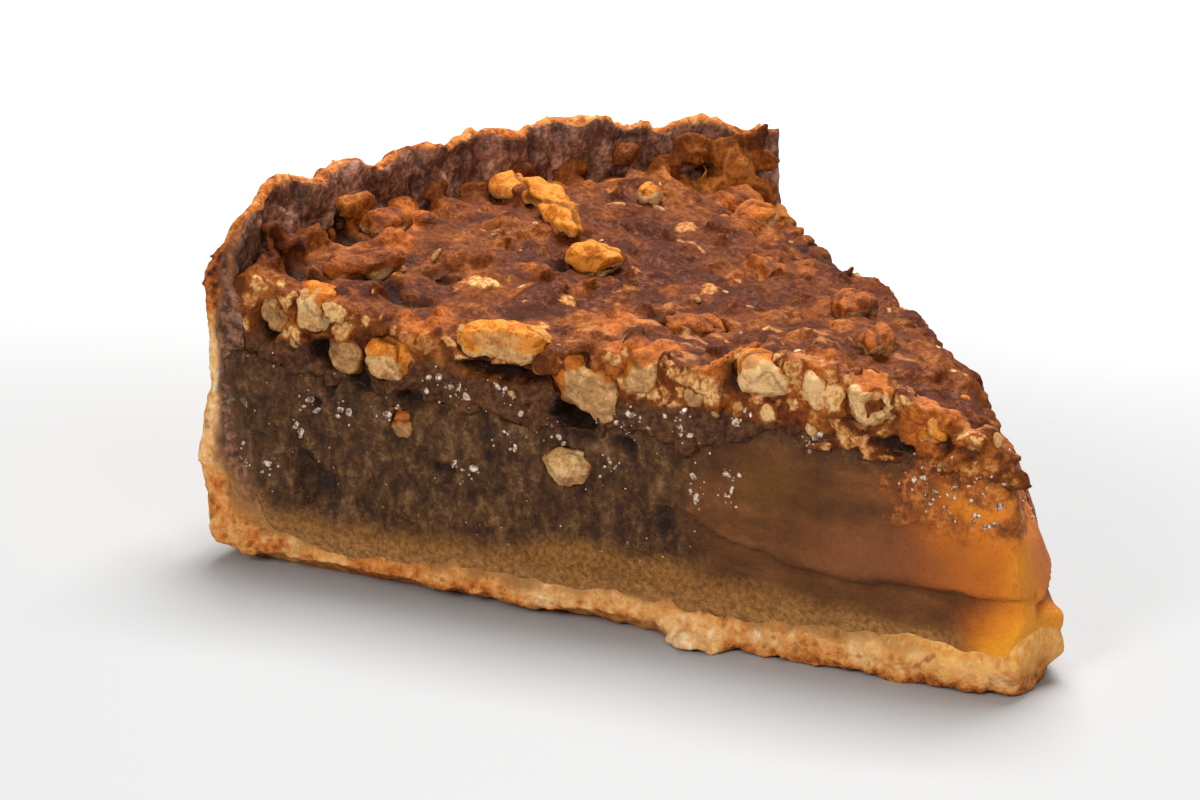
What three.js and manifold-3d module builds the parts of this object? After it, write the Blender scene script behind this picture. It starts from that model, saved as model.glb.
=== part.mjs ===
// One slice of a deep pecan pie, cut from a round pie of eight: a fluted pastry crust, a set
// syrup filling, a puffed layer of chopped pecans baked into one sheet, and the larger pieces
// of pecan that stand out of that sheet on top and in the two cut faces.
// Millimetres, +Z up. The slice stands on z = 0 with its tip towards +X and its rim towards -X.
import * as THREE from "three";
import { ImprovedNoise } from "three/addons/math/ImprovedNoise.js";
import { mergeVertices } from "three/addons/utils/BufferGeometryUtils.js";
import Module from "manifold-3d";

const wasm = await Module();
wasm.setup();
const { clamp, lerp, smoothstep, seededRandom } = THREE.MathUtils;

// ---- Driving dimensions ----

const PIE_RADIUS = 116;
const SLICES_IN_PIE = 8;
const RIM_HEIGHT = 42;
const FLOOR_THICKNESS = 4.6;
const FLOOR_REACH = 110; // the floor turns up into the wall here
const WALL_BEND = 24; // the wall is straight below this height and frilled above it
const FLUTES = 8;
const FLUTE_DEPTH = 1.3;
const FLUTE_CREST = 0.35;
const TIP_ROUND = 5.8;
const GAP = 0.4; // kept between neighbours
const NUT_POCKET = 0.5; // added to a nut's half sizes where a neighbour makes room for it

const HALF_ANGLE = Math.PI / SLICES_IN_PIE;
const PIE_CENTRE_X = 63.5; // puts the origin under the middle of the slice

// ---- Shared maths ----

const grain = new ImprovedNoise();

// A smooth curve through [position, value] knots.
const curve = (...knots) => (position) => {
  const next = knots.findIndex(([knot]) => knot > position);
  if (next === 0) return knots[0][1];
  if (next < 0) return knots.at(-1)[1];
  const [[from, low], [to, high]] = [knots[next - 1], knots[next]];
  return lerp(low, high, smoothstep(position, from, to));
};

// A place in the slice: radius from the pie's centre, side (-1 on one cut face, 1 on the other)
// and height, pushed out of its cut face by proud.
function place(radius, side, height, proud = 0) {
  const turn = side * HALF_ANGLE;
  const out = proud * Math.sign(side);
  return [
    PIE_CENTRE_X - radius * Math.cos(turn) + out * Math.sin(turn),
    radius * Math.sin(turn) + out * Math.cos(turn),
    height,
  ];
}

// The tip is an arc against both cut faces. Its -1 side stands upright, and its 1 side has
// slumped back, the more so the higher it is.
const tipSlump = curve([0, 8], [3, 7.3], [7, 7.1], [12, 7.9], [18, 9.4], [24, 12.5], [32, 17]);

function tipRadius(side, height) {
  const round = lerp(TIP_ROUND, tipSlump(height), smoothstep(side, -1, 1));
  const centre = round / Math.sin(HALF_ANGLE);
  const turn = clamp(side, -1, 1) * HALF_ANGLE;
  const across = centre * Math.sin(turn);
  return centre * Math.cos(turn) - Math.sqrt(Math.max(0, round ** 2 - across ** 2));
}

// Side of a grid line: evenly spread at the rim, and evenly round the arc at the tip.
function gridSide(share, towardsTip) {
  const arc = (2 * share - 1) * (Math.PI / 2 - HALF_ANGLE);
  const bite = Math.sin(HALF_ANGLE);
  const atTip = Math.atan2(Math.sin(arc) * bite, 1 - Math.cos(arc) * bite) / HALF_ANGLE;
  return lerp(2 * share - 1, atTip, towardsTip ** 2);
}

const onCut = (side) => Math.abs(side) > 0.999;

// ---- Geometry helpers ----

function closed(geometry) {
  geometry.deleteAttribute("normal");
  geometry.deleteAttribute("uv");
  return mergeVertices(geometry);
}

// Moves every vertex of a closed geometry to where spot(vertex) says.
function bend(geometry, spot) {
  const points = geometry.getAttribute("position");
  const point = new THREE.Vector3();
  for (let index = 0; index < points.count; index += 1) {
    points.setXYZ(index, ...spot(point.fromBufferAttribute(points, index)));
  }
  return geometry;
}

// A box of cells, bent by spot(along, across, up), each a share 0..1 and along from rim to tip.
function bentBox(cells, spot) {
  const box = closed(new THREE.BoxGeometry(1, 1, 1, ...cells));
  return bend(box, (point) => spot(...point.addScalar(0.5)));
}

function solidOf(geometry) {
  const vertProperties = geometry.getAttribute("position").array;
  const triVerts = Uint32Array.from(geometry.getIndex().array);
  return new wasm.Manifold(new wasm.Mesh({ numProp: 3, vertProperties, triVerts }));
}

function geometryOf(solid) {
  const { vertProperties, triVerts } = solid.getMesh();
  const geometry = new THREE.BufferGeometry();
  geometry.setAttribute("position", new THREE.BufferAttribute(vertProperties, 3));
  geometry.setIndex(new THREE.BufferAttribute(triVerts, 1));
  return geometry;
}

const slice = new THREE.Group();

function addNode(name, solid, color, roughness) {
  const material = new THREE.MeshStandardMaterial({ color, roughness, metalness: 0 });
  const mesh = new THREE.Mesh(geometryOf(solid), material);
  mesh.name = name;
  slice.add(mesh);
}

// ---- Crust: floor and fluted wall, one piece of pastry ----

// Both faces of the wall, as distance inside the pie's radius by height.
const outerWall = curve([0, 6], [1.2, 2.2], [3, 0.2], [8, -0.2], [14, -1.1], [22, 1], [28, 0.6], [36, 0.7],
  [42, 2.6]);
const innerWall = curve([4, 10], [8, 7.4], [13, 5.4], [20, 4.2], [26, 3.5], [32, 4.4], [42, 4.6]);
const rimHeight = curve([-1, 37.6], [-0.9, 42], [-0.8, 44], [-0.5, 43], [0.4, 43.2], [0.55, 41], [0.9, 40.6],
  [1, 38.4]);
const floorThickness = curve([10, 5.6], [40, 5.2], [70, FLOOR_THICKNESS], [100, 4.2], [106, 4.8]);

// The -1 side's bottom edge is chipped and curls up off the surface in two stretches.
const edgeLift = curve([49, 0], [54, 2], [61, 2], [67, 0.2], [76, 0.2], [86, 1], [98, 2.2], [102, 2.2],
  [FLOOR_REACH, 0.3]);

const flute = (side) => Math.cos(Math.PI * FLUTES * (side + 1));

function wallPoint(radius, height, side) {
  const frill = smoothstep(height, WALL_BEND + 3, RIM_HEIGHT - 3);
  const scale = (rimHeight(side) - WALL_BEND) / (RIM_HEIGHT - WALL_BEND);
  const raised = height < WALL_BEND ? height : WALL_BEND + (height - WALL_BEND) * scale;
  return [radius + FLUTE_DEPTH * flute(side) * frill, raised + FLUTE_CREST * flute(side) * frill ** 3];
}

const WALL_CELLS = 10;
const FLOOR_CELLS = 14;

// The pastry as a bent slab. More thickness can be added inwards and outwards, and cells past
// the cut faces, to make the tool that trims what lies against it.
function crustSlab({ inward = 0, outward = 0, spare = 0 }) {
  const acrossCells = 4 * FLUTES;
  const reach = 1 + spare / acrossCells;
  const wallShare = WALL_CELLS / (WALL_CELLS + FLOOR_CELLS);
  return bentBox([WALL_CELLS + FLOOR_CELLS, acrossCells + spare, 2], (along, across, up) => {
    const inWall = along < wallShare - 0.001;
    const rise = inWall ? (1 - along / wallShare) ** 1.3 : 0;
    const toTip = inWall ? 0 : (along - wallShare) / (1 - wallShare);
    const side = gridSide(across, toTip) * reach;
    const crest = along === 0 && up === 0.5 ? 0.7 : 0;
    let low = [FLOOR_REACH + outward, -outward];
    let high = [FLOOR_REACH - 4 - inward, floorThickness(FLOOR_REACH) + inward];
    if (inWall) {
      const innerHeight = lerp(floorThickness(FLOOR_REACH), RIM_HEIGHT, rise);
      low = wallPoint(PIE_RADIUS - outerWall(RIM_HEIGHT * rise) + outward, RIM_HEIGHT * rise, side);
      high = wallPoint(PIE_RADIUS - innerWall(innerHeight) - inward, innerHeight, side);
    } else if (toTip > 0) {
      const lowRadius = lerp(FLOOR_REACH, tipRadius(side, 0), toTip);
      const highRadius = lerp(FLOOR_REACH - 4, tipRadius(side, FLOOR_THICKNESS), toTip);
      const chip = side < -0.999 ? edgeLift(lowRadius) : 0;
      low = [lowRadius, chip - outward];
      high = [highRadius, floorThickness(highRadius) + inward];
    }
    const radius = lerp(low[0], high[0], up);
    const height = lerp(low[1], high[1], up) + crest;
    const flare = 0.9 * (1 - smoothstep(height, 2, 7));
    const proud = spare === 0 && onCut(side) ? flare + 0.5 * grain.noise(radius / 4, height / 3, side) : 0;
    return place(radius, side, height, proud);
  });
}

// A flake of pastry that broke down from the bottom edge and stays joined to it.
function crustFlake() {
  const flake = bentBox([3, 2, 1], (along, across, up) => {
    const taper = 1 - 0.45 * Math.abs(2 * along - 1);
    const radius = lerp(53, 45.5, along);
    const proud = lerp(4.2 * taper, -1, across);
    const height = up * 3.6 * taper * (0.55 + 0.45 * across);
    return place(radius, -1, height, proud);
  });
  return solidOf(flake);
}

addNode("crust", solidOf(crustSlab({})).add(crustFlake()), "#b98a52", 0.8);

// ---- Height of the nut layer's top, by radius, along both cut faces and the middle ----

const nearTop = curve([12, 28.5], [16, 30.5], [22, 32], [30, 34.5], [38, 35.6], [45, 35], [52, 31.8],
  [60, 33], [70, 31.3], [80, 33], [90, 31.8], [98, 34], [112, 35.5]);
const middleTop = curve([16, 27.5], [26, 31], [36, 33.5], [48, 33.8], [58, 32.3], [75, 32.6], [86, 35],
  [98, 36], [112, 37]);
const farTop = curve([18, 17], [27, 19.5], [34, 22.5], [39, 25.5], [50, 28.3], [75, 29.8], [84, 28], [92, 27],
  [104, 28.5], [113, 31]);
const layerDepth = curve([12, 3.5], [30, 6.5], [55, 8.5], [110, 9]);

function layerTop(radius, side) {
  const edge = side < 0 ? nearTop(radius) : farTop(radius);
  const fade = side < 0 ? smoothstep(-side, 0.3, 1) : smoothstep(side, 0.35, 1) ** 2;
  const [x, y] = place(radius, side, 0);
  return lerp(middleTop(radius), edge, fade) + 1.3 * grain.noise(x / 6, y / 6, 2.5);
}

function layerUnderside(radius, side) {
  const top = layerTop(radius, side);
  const [x, y] = place(radius, side, 0);
  return top - layerDepth(radius) + 0.8 * grain.noise(x / 7, y / 7, 9.5);
}

// ---- Larger pieces of pecan ----

// A broken pecan: a ball trimmed by a few flats, grooved along one side and stretched to size.
function nutSolid(nut, grow = 0) {
  seededRandom(nut.seed);
  const flats = Array.from({ length: 7 }, () => {
    const normal = new THREE.Vector3(seededRandom() - 0.5, seededRandom() - 0.5, seededRandom() - 0.5);
    return { normal: normal.normalize(), reach: lerp(0.62, 0.9, seededRandom()) };
  });
  const half = new THREE.Vector3(...nut.size).multiplyScalar(0.5).addScalar(grow);
  const ball = closed(new THREE.IcosahedronGeometry(1, nut.detail));
  return solidOf(bend(ball, (point) => {
    const bluntness = 9;
    const pressed = flats.reduce((sum, flat) => (
      sum + Math.max(0, point.dot(flat.normal) / flat.reach) ** bluntness), 1);
    const groove = 1 - 0.14 * Math.exp(-((point.y / 0.3) ** 2)) * smoothstep(point.z, 0, 1);
    point.multiplyScalar(groove * pressed ** (-1 / bluntness));
    return point.multiply(half).applyQuaternion(nut.turn).add(nut.centre);
  }));
}

// Turns a nut so that its length runs along the radius, its depth out of the cut face, and
// then leans it in the plane of that face.
function turnInFace(side, lean) {
  const turn = side * HALF_ANGLE;
  const outwards = new THREE.Vector3(Math.sin(turn), Math.cos(turn), 0).multiplyScalar(Math.sign(side) || 1);
  const length = new THREE.Vector3(-Math.cos(turn), Math.sin(turn), 0);
  const height = new THREE.Vector3().crossVectors(outwards, length);
  const axes = new THREE.Matrix4().makeBasis(length, height, outwards);
  const upright = new THREE.Quaternion().setFromRotationMatrix(axes);
  return upright.multiply(new THREE.Quaternion().setFromAxisAngle(new THREE.Vector3(0, 0, 1), lean));
}

// Radius and height of the middle, then length, height, depth and lean in degrees.
const NUTS_IN_NEAR_FACE = [
  [106.4, 31.6, 4.2, 6.6, 6, 8],
  [100.9, 32.4, 6.6, 7, 8, 12],
  [96.5, 28, 6.4, 5.4, 7, -32],
  [90.8, 28.6, 7.4, 6.6, 8, -35],
  [76, 32, 13.8, 5.6, 9, 8],
  [64.7, 27.6, 11.2, 6.6, 8, -34],
  [67.2, 18.4, 8, 5.8, 6, -20],
  [58, 30.8, 5.6, 6, 7, 40],
  [50.5, 29.4, 3.8, 4.6, 5, 0],
  [42.2, 32.9, 8, 5.8, 8, -8],
  [35.7, 32.6, 4.8, 8, 8, 12],
  [28.6, 31.6, 8, 7, 7, -20],
  [21.2, 30, 4.8, 5.6, 6, -15],
  [88.8, 20.4, 4, 4, 4, 0],
];

function nutsInNearFace() {
  return NUTS_IN_NEAR_FACE.map(([radius, height, long, high, deep, lean], index) => {
    const [x, y, z] = place(radius, -1, height, -0.22 * deep);
    return {
      name: `pecan_in_near_face_${index + 1}`,
      centre: new THREE.Vector3(x, y, z),
      turn: turnInFace(-1, THREE.MathUtils.degToRad(lean)),
      size: [long, high, deep],
      detail: long > 10 ? 2 : Number(long > 5),
      seed: 11 + index,
    };
  });
}

// The far face is nutted in the same way, by a rule: one piece about every 13 mm.
function nutsInFarFace() {
  return Array.from({ length: 6 }, (_, index) => {
    seededRandom(60 + index);
    const radius = 40 + 12.6 * index + 4 * seededRandom();
    const height = farTop(radius) - lerp(2, 4.5, seededRandom());
    const [x, y, z] = place(radius, 1, height, -1.2);
    return {
      name: `pecan_in_far_face_${index + 1}`,
      centre: new THREE.Vector3(x, y, z),
      turn: turnInFace(1, lerp(-0.7, 0.7, seededRandom())),
      size: [lerp(5, 10, seededRandom()), lerp(4.5, 6, seededRandom()), 7],
      detail: 1,
      seed: 60 + index,
    };
  });
}

// On top: radius, side, length, width, thickness, heading in degrees, and how far the middle
// stands over the layer.
const NUTS_ON_TOP = [
  [106.4, 0.82, 7, 6, 5, 20, 1.6],
  [100, 0.8, 8, 5.5, 5, 70, 0.8],
  [106.4, -0.46, 8, 5.5, 5, 15, 0.8],
  [101, -0.72, 12, 6, 5.5, 50, 0.6],
  [84, -0.12, 8, 6, 5, 30, 0.7],
  [99, 0.42, 5, 4, 3.5, 80, 0.7],
  [76, 0.5, 9, 6, 5, -25, 0.5],
  [62, -0.3, 8, 6, 5, 35, 0.4],
  [52, 0.42, 9, 6, 5, 110, 0.5],
  [38, 0, 8, 5.5, 5, -40, 0.4],
];

function nutsOnTop() {
  return NUTS_ON_TOP.map(([radius, side, long, wide, thick, heading, stand], index) => {
    const [x, y, z] = place(radius, side, layerTop(radius, side) + stand);
    const turn = new THREE.Euler(0.2 * Math.sin(7 * index), 0.2 * Math.cos(5 * index),
      THREE.MathUtils.degToRad(heading));
    return {
      name: `pecan_on_top_${index + 1}`,
      centre: new THREE.Vector3(x, y, z),
      turn: new THREE.Quaternion().setFromEuler(turn),
      size: [long, wide, thick],
      detail: Number(long > 5),
      seed: 31 + index,
    };
  });
}

// One long sliver lies on the layer with a lump at its outer end, joined at a bend.
function bentSliver() {
  const spots = [[108, 0.06, 6, 6, 4.5, 60], [102.5, 0.09, 9, 4.6, 4, -8], [95, 0.01, 12, 4.8, 4.2, -24]];
  return spots.map(([radius, side, long, wide, thick, heading], index) => {
    const [x, y, z] = place(radius, side, layerTop(radius, side) + 1.4);
    const turn = new THREE.Euler(0, 0.05, THREE.MathUtils.degToRad(heading));
    return {
      centre: new THREE.Vector3(x, y, z),
      turn: new THREE.Quaternion().setFromEuler(turn),
      size: [long, wide, thick],
      detail: 1,
      seed: 50 + index,
    };
  });
}

const joined = (nuts, grow) => nuts.map((nut) => nutSolid(nut, grow)).reduce((all, next) => all.add(next));
const looseNuts = [...nutsInNearFace(), ...nutsInFarFace(), ...nutsOnTop()];
const sliver = bentSliver();

// ---- Filling and nut layer: blocks of cells, trimmed by the crust and the larger nuts ----

const allPockets = joined([...looseNuts, ...sliver], NUT_POCKET);
const crustTool = solidOf(crustSlab({ inward: GAP, outward: 12, spare: 2 }));

function cutRelief(radius, height, side) {
  const broad = grain.noise(radius / 5, height / 4, 4 * side);
  const fine = grain.noise(radius / 2.2, height / 2, side);
  return 0.5 * broad + 0.3 * fine;
}

const NEAR_TIP = 20; // radius at which a block's heights set how far its tip slumps

// A block of cells between two heights, from its outer radius in to the tip. A tool reaches
// past the cut faces and the tip by its overshoot.
function block({ cells, outerRadius, bottom, top, overshoot = 0 }) {
  return solidOf(bentBox(cells, (along, across, up) => {
    const side = gridSide(across, along);
    const heightAt = (radius) => lerp(bottom(radius, side), top(radius, side), up);
    const past = along > 0.999 ? overshoot : 0;
    const outer = outerRadius(heightAt(PIE_RADIUS));
    const radius = lerp(outer, tipRadius(side, heightAt(NEAR_TIP)), along) - past;
    const height = heightAt(radius);
    const proud = onCut(side) ? cutRelief(radius, height, side) + overshoot : 0;
    return place(radius, side, height, proud);
  }));
}

const LAYER_CELLS = [25, 15, 2];
const pastTheWall = () => PIE_RADIUS + 2;
const OVER_ALL = RIM_HEIGHT + 18;

function filling() {
  const insideWall = (level) => PIE_RADIUS - innerWall(Math.min(level, WALL_BEND)) - GAP;
  const overCrust = (radius) => floorThickness(radius) + GAP;
  const fill = block({
    cells: [20, 8, 4],
    outerRadius: insideWall,
    bottom: overCrust,
    top: () => RIM_HEIGHT,
  });
  const layerTool = block({
    cells: LAYER_CELLS,
    outerRadius: pastTheWall,
    bottom: (radius, side) => layerUnderside(radius, side) - GAP,
    top: () => OVER_ALL,
    overshoot: 0.7,
  });
  return fill.subtract(layerTool).subtract(allPockets);
}

function nutLayer() {
  const layer = block({
    cells: LAYER_CELLS,
    outerRadius: pastTheWall,
    bottom: layerUnderside,
    top: layerTop,
  });
  return layer.subtract(crustTool).subtract(allPockets);
}

addNode("filling", filling(), "#6e4526", 0.5);
addNode("pecan_layer", nutLayer(), "#8a4f22", 0.55);
looseNuts.forEach((nut) => addNode(nut.name, nutSolid(nut), "#b98552", 0.6));
addNode("pecan_bent_sliver", joined(sliver), "#b5652a", 0.5);

export default slice;
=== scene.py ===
import math

import bmesh
import bpy
import numpy as np
from mathutils import Matrix, Quaternion, Vector
from mathutils.bvhtree import BVHTree


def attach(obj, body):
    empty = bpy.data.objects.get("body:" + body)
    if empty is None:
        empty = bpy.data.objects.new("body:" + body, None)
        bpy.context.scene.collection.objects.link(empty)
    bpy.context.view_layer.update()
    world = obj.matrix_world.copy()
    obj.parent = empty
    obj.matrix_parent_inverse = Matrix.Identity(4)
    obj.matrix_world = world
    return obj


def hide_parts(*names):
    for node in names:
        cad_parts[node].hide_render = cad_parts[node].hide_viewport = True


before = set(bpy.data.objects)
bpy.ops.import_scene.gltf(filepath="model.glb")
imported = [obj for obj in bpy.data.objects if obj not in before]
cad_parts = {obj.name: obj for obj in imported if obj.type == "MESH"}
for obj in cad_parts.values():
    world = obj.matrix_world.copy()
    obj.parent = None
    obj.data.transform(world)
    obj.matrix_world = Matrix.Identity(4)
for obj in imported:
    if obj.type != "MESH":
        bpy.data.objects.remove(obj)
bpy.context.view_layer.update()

# ---- Crust ----
# A sheet of shortcrust pressed into a deep fluted tin and baked: pale crumb where the knife
# went through, golden outside, and dark on the inner wall, where syrup boiled up over it.

PIE_CENTRE_X = 63.5
PIE_RADIUS = 116
HALF_ANGLE = math.pi / 8
CUT_NORMALS = {
    -1: np.array([math.sin(HALF_ANGLE), -math.cos(HALF_ANGLE), 0.0]),
    1: np.array([math.sin(HALF_ANGLE), math.cos(HALF_ANGLE), 0.0]),
}
GRADIENTS = np.random.default_rng(3).normal(size=(256, 3))
GRADIENTS /= np.linalg.norm(GRADIENTS, axis=1)[:, None]


def step(value, low, high):
    """0 below low, 1 above high, smooth between; low may be the larger one."""
    share = np.clip((value - low) / (high - low), 0, 1)
    return share * share * (3 - 2 * share)


def dice(cells, seed):
    """A whole number 0..255 for each whole-number cell, always the same one."""
    key = (cells[:, 0] * 73856093) ^ (cells[:, 1] * 19349663) ^ (cells[:, 2] * 83492791)
    key = (key + seed * 668265263) & 0xFFFFFFFF
    key = ((key ^ (key >> 13)) * 1274126177) & 0xFFFFFFFF
    return (key ^ (key >> 16)) & 0xFF


def ripple(points, size, seed=0, stretch=(1, 1, 1)):
    """Smooth noise, about -1 to 1, in lumps about size across, longer along stretch."""
    spots = points / (np.array(stretch) * size) + 0.37 * seed
    cell = np.floor(spots).astype(np.int64)
    part = spots - cell
    ease = part ** 3 * (part * (part * 6 - 15) + 10)
    total = np.zeros(len(points))
    for corner in np.ndindex(2, 2, 2):
        weight = np.prod(np.where(np.array(corner) == 1, ease, 1 - ease), axis=1)
        slope = GRADIENTS[dice(cell + corner, seed)]
        total += weight * np.einsum("ij,ij->i", slope, part - corner)
    return 1.7 * total


def crumbs(points, size, seed=0):
    """Distance to the nearest of scattered dots about size apart, as a share of size, and
    that dot's own number 0..1."""
    spots = points / size
    cell = np.floor(spots).astype(np.int64)
    nearest = np.full(len(points), 9.0)
    own = np.zeros(len(points))
    for near in np.ndindex(3, 3, 3):
        home = cell + near - 1
        jitter = np.stack([dice(home, seed + axis) for axis in range(3)], axis=1) / 255
        gap = np.linalg.norm(home + jitter - spots, axis=1)
        closer = gap < nearest
        nearest[closer] = gap[closer]
        own[closer] = dice(home, seed + 7)[closer] / 255
    return nearest, own


def polar(points):
    """Radius from the pie's centre, side from -1 on one cut face to 1 on the other, height."""
    inward = PIE_CENTRE_X - points[:, 0]
    side = np.arctan2(points[:, 1], inward) / HALF_ANGLE
    return np.hypot(inward, points[:, 1]), side, points[:, 2]


def under_cut(points, side):
    """How far each point is inside the plane of one cut face."""
    return (PIE_CENTRE_X - points[:, 0]) * math.sin(HALF_ANGLE) - side * points[:, 1] * math.cos(HALF_ANGLE)


def cut_depth(points):
    """How far each point is inside the nearer of the two cut faces."""
    return np.minimum(under_cut(points, -1), under_cut(points, 1))


def cut_share(points, facing, turned, depths):
    """1 on the skin of the cut faces, which faces the knife's way and lies close to the cut."""
    return np.maximum(*(step(facing @ CUT_NORMALS[side], *turned) * step(under_cut(points, side), *depths)
                        for side in (-1, 1)))


def inwards(points):
    """The level way from each point towards the pie's centre."""
    radius, _, height = polar(points)
    return np.stack([PIE_CENTRE_X - points[:, 0], -points[:, 1], 0 * height], axis=1) / radius[:, None]


def to_joint(points):
    """How far each point is past the line where pastry and filling meet, on the filling's side,
    and the way across that line."""
    radius, _, height = polar(points)
    floor = height - np.interp(radius, *FLOOR_TOP)
    wall = PIE_RADIUS - np.interp(height, *INNER_WALL) - radius
    return np.minimum(floor, wall), np.where((floor < wall)[:, None], (0, 0, 1), inwards(points))


def level_cut(points, into):
    """Brings both sides of that line to one plane in the cut faces, each running under the
    other a little way, so that no groove shows. Into is 1 for the pastry, -1 for the filling."""
    past, across = to_joint(points)
    share = step(points[:, 2], 34, 27)
    points += (share * into * 1.7 * step(into * past, -2, -0.2))[:, None] * across
    past, _ = to_joint(points)
    past += 0.5 * ripple(points, 3, 93)
    for side in (-1, 1):
        plane = 0.3 + 0.3 * ripple(points, 8, 91) + 0.6 * step(points[:, 2], 7, 1.5)
        plane -= 0.6 * step(into * past, -1.6, 1.6)
        depth = under_cut(points, side)
        near = share * step(np.abs(past), 4.5, 2) * step(depth, 3.2, 1.6)
        points -= (near * (-plane - depth))[:, None] * CUT_NORMALS[side]


def vectors(items, name):
    """One vector for each item of a mesh."""
    flat = np.empty(3 * len(items), np.float32)
    items.foreach_get(name, flat)
    return flat.reshape(-1, 3)


def node_form(node):
    """A solid of the slice as points and faces, in millimetres."""
    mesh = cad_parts[node].data
    return 1000.0 * vectors(mesh.vertices, "co"), [tuple(face.vertices) for face in mesh.polygons]


def one_mesh(forms):
    """Several forms, each of points and faces, as one mesh."""
    points, faces, start = [], [], 0
    for spots, corners in forms:
        points.append(spots)
        faces.extend(tuple(start + corner for corner in face) for face in corners)
        start += len(spots)
    mesh = bpy.data.meshes.new("rough")
    mesh.from_pydata(np.concatenate(points).tolist(), [], faces)
    return mesh


def fine_skin(forms, grain, relax):
    """One closed skin of small even faces round all the forms together."""
    rough = one_mesh(forms)
    holder = bpy.data.objects.new("rough", rough)
    bpy.context.collection.objects.link(holder)
    skin = holder.modifiers.new("skin", "REMESH")
    skin.mode = "VOXEL"
    skin.voxel_size = grain
    soften = holder.modifiers.new("soften", "SMOOTH")
    soften.factor = 0.5
    soften.iterations = relax
    skinned = holder.evaluated_get(bpy.context.evaluated_depsgraph_get())
    fine = bpy.data.meshes.new_from_object(skinned)
    bpy.data.objects.remove(holder)
    bpy.data.meshes.remove(rough)
    return fine


def spots_of(mesh):
    """Where the points of a mesh are."""
    return vectors(mesh.vertices, "co").astype(float)


def facing_of(mesh):
    """Which way the skin of a mesh faces at each point."""
    return vectors(mesh.vertex_normals, "vector").astype(float)


def shape(mesh, points):
    """Moves the points of a mesh to new places."""
    mesh.vertices.foreach_set("co", points.astype(np.float32).ravel())
    mesh.update()


def mark(mesh, **masks):
    """Keeps a number per point for the material to read."""
    for name, values in masks.items():
        mesh.attributes.new(name, "FLOAT", "POINT").data.foreach_set("value", values.astype(np.float32))


def lay(mesh, name, finish, slot, *nodes):
    """Turns a finished mesh into a piece of the slice, in metres, in the place of its nodes."""
    mesh.name = name
    mesh.transform(Matrix.Scale(0.001, 4))
    mesh.polygons.foreach_set("use_smooth", np.ones(len(mesh.polygons), bool))
    mesh.materials.append(finish.material)
    piece = bpy.data.objects.new(name, mesh)
    bpy.context.collection.objects.link(piece)
    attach(piece, "root")
    if nodes:
        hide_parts(*nodes)
    return piece


def colour(*levels):
    """A screen colour, red, green and blue from 0 to 255, as the linear one a material takes."""
    linear = [((level / 255 + 0.055) / 1.055) ** 2.4 if level > 10 else level / 3295 for level in levels]
    return (*linear, 1)


class Wire:
    """One value in a material. Each sum on it adds the node that works it out."""

    def __init__(self, finish, socket):
        self.finish = finish
        self.socket = socket

    def maths(self, operation, *terms):
        """A Math node on these terms, each a number or another value."""
        return self.finish.node("ShaderNodeMath", {"operation": operation}, dict(enumerate(terms)))

    def __add__(self, other):
        return self.maths("ADD", self, other)

    def __sub__(self, other):
        return self.maths("SUBTRACT", self, other)

    def __rsub__(self, other):
        return self.maths("SUBTRACT", other, self)

    def __mul__(self, other):
        return self.maths("MULTIPLY", self, other)

    def step(self, low, high):
        """0 below low, 1 above high, smooth between."""
        return self.finish.node("ShaderNodeMapRange", {"interpolation_type": "SMOOTHSTEP"}, {
            "Value": self, "From Min": low, "From Max": high})

    def spread(self):
        """Cloudy noise, most of which is close to the middle, spread over the whole of 0..1."""
        return self.step(0.36, 0.64)

    __radd__ = __add__
    __rmul__ = __mul__


class Finish:
    """One material made of nodes, for a finish of the slice."""

    def __init__(self, name):
        self.material = bpy.data.materials.new(name)
        self.material.use_nodes = True
        self.tree = self.material.node_tree
        self.surface = self.tree.nodes["Principled BSDF"]
        self.spot = self.node("ShaderNodeTexCoord", {}, {}, "Object")

    def node(self, kind, settings, sockets, out=0):
        """Adds a node: its type, its settings, then the values or links of its sockets."""
        made = self.tree.nodes.new(kind)
        for name, value in settings.items():
            if name == "stops":
                for stop in value[2:]:
                    made.color_ramp.elements.new(stop[0])
                for element, (place, tint) in zip(made.color_ramp.elements, value):
                    element.position = place
                    element.color = tint
            else:
                setattr(made, name, value)
        self.feed(made, sockets)
        return Wire(self, made.outputs[out])

    def feed(self, made, sockets):
        """Links or sets the sockets of a node."""
        for name, value in sockets.items():
            if isinstance(value, Wire):
                self.tree.links.new(value.socket, made.inputs[name])
            else:
                made.inputs[name].default_value = value

    def mark(self, name):
        """A number that the mesh keeps for each of its points."""
        return self.node("ShaderNodeAttribute", {"attribute_name": name}, {}, "Fac")

    def noise(self, size, detail=3, roughness=0.6, stretch=(1, 1, 1)):
        """Cloudy noise 0..1, in lumps about size millimetres across, longer along stretch."""
        spot = self.node("ShaderNodeVectorMath", {"operation": "DIVIDE"}, {0: self.spot, 1: stretch})
        return self.node("ShaderNodeTexNoise", {}, {
            "Vector": spot, "Scale": 1000 / size, "Detail": detail, "Roughness": roughness})

    def tones(self, value, *stops):
        """The colours of a ramp; each stop is a place on it and a colour."""
        return self.node("ShaderNodeValToRGB", {"stops": stops}, {"Fac": value})

    def over(self, under, mask, top):
        """One colour laid over another where the mask is 1."""
        return self.node("ShaderNodeMix", {"data_type": "RGBA"}, {0: mask, 6: under, 7: top}, 2)

    def bump(self, height, depth):
        """Relief of a given depth in millimetres."""
        return self.node("ShaderNodeBump", {}, {"Height": height, "Distance": depth / 1000})

    def wear(self, **sockets):
        """Sets the sockets of the surface itself; their names are written with underscores."""
        self.feed(self.surface, {name.replace("_", " ").title().replace("Ior", "IOR"): value
                                 for name, value in sockets.items()})


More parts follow.
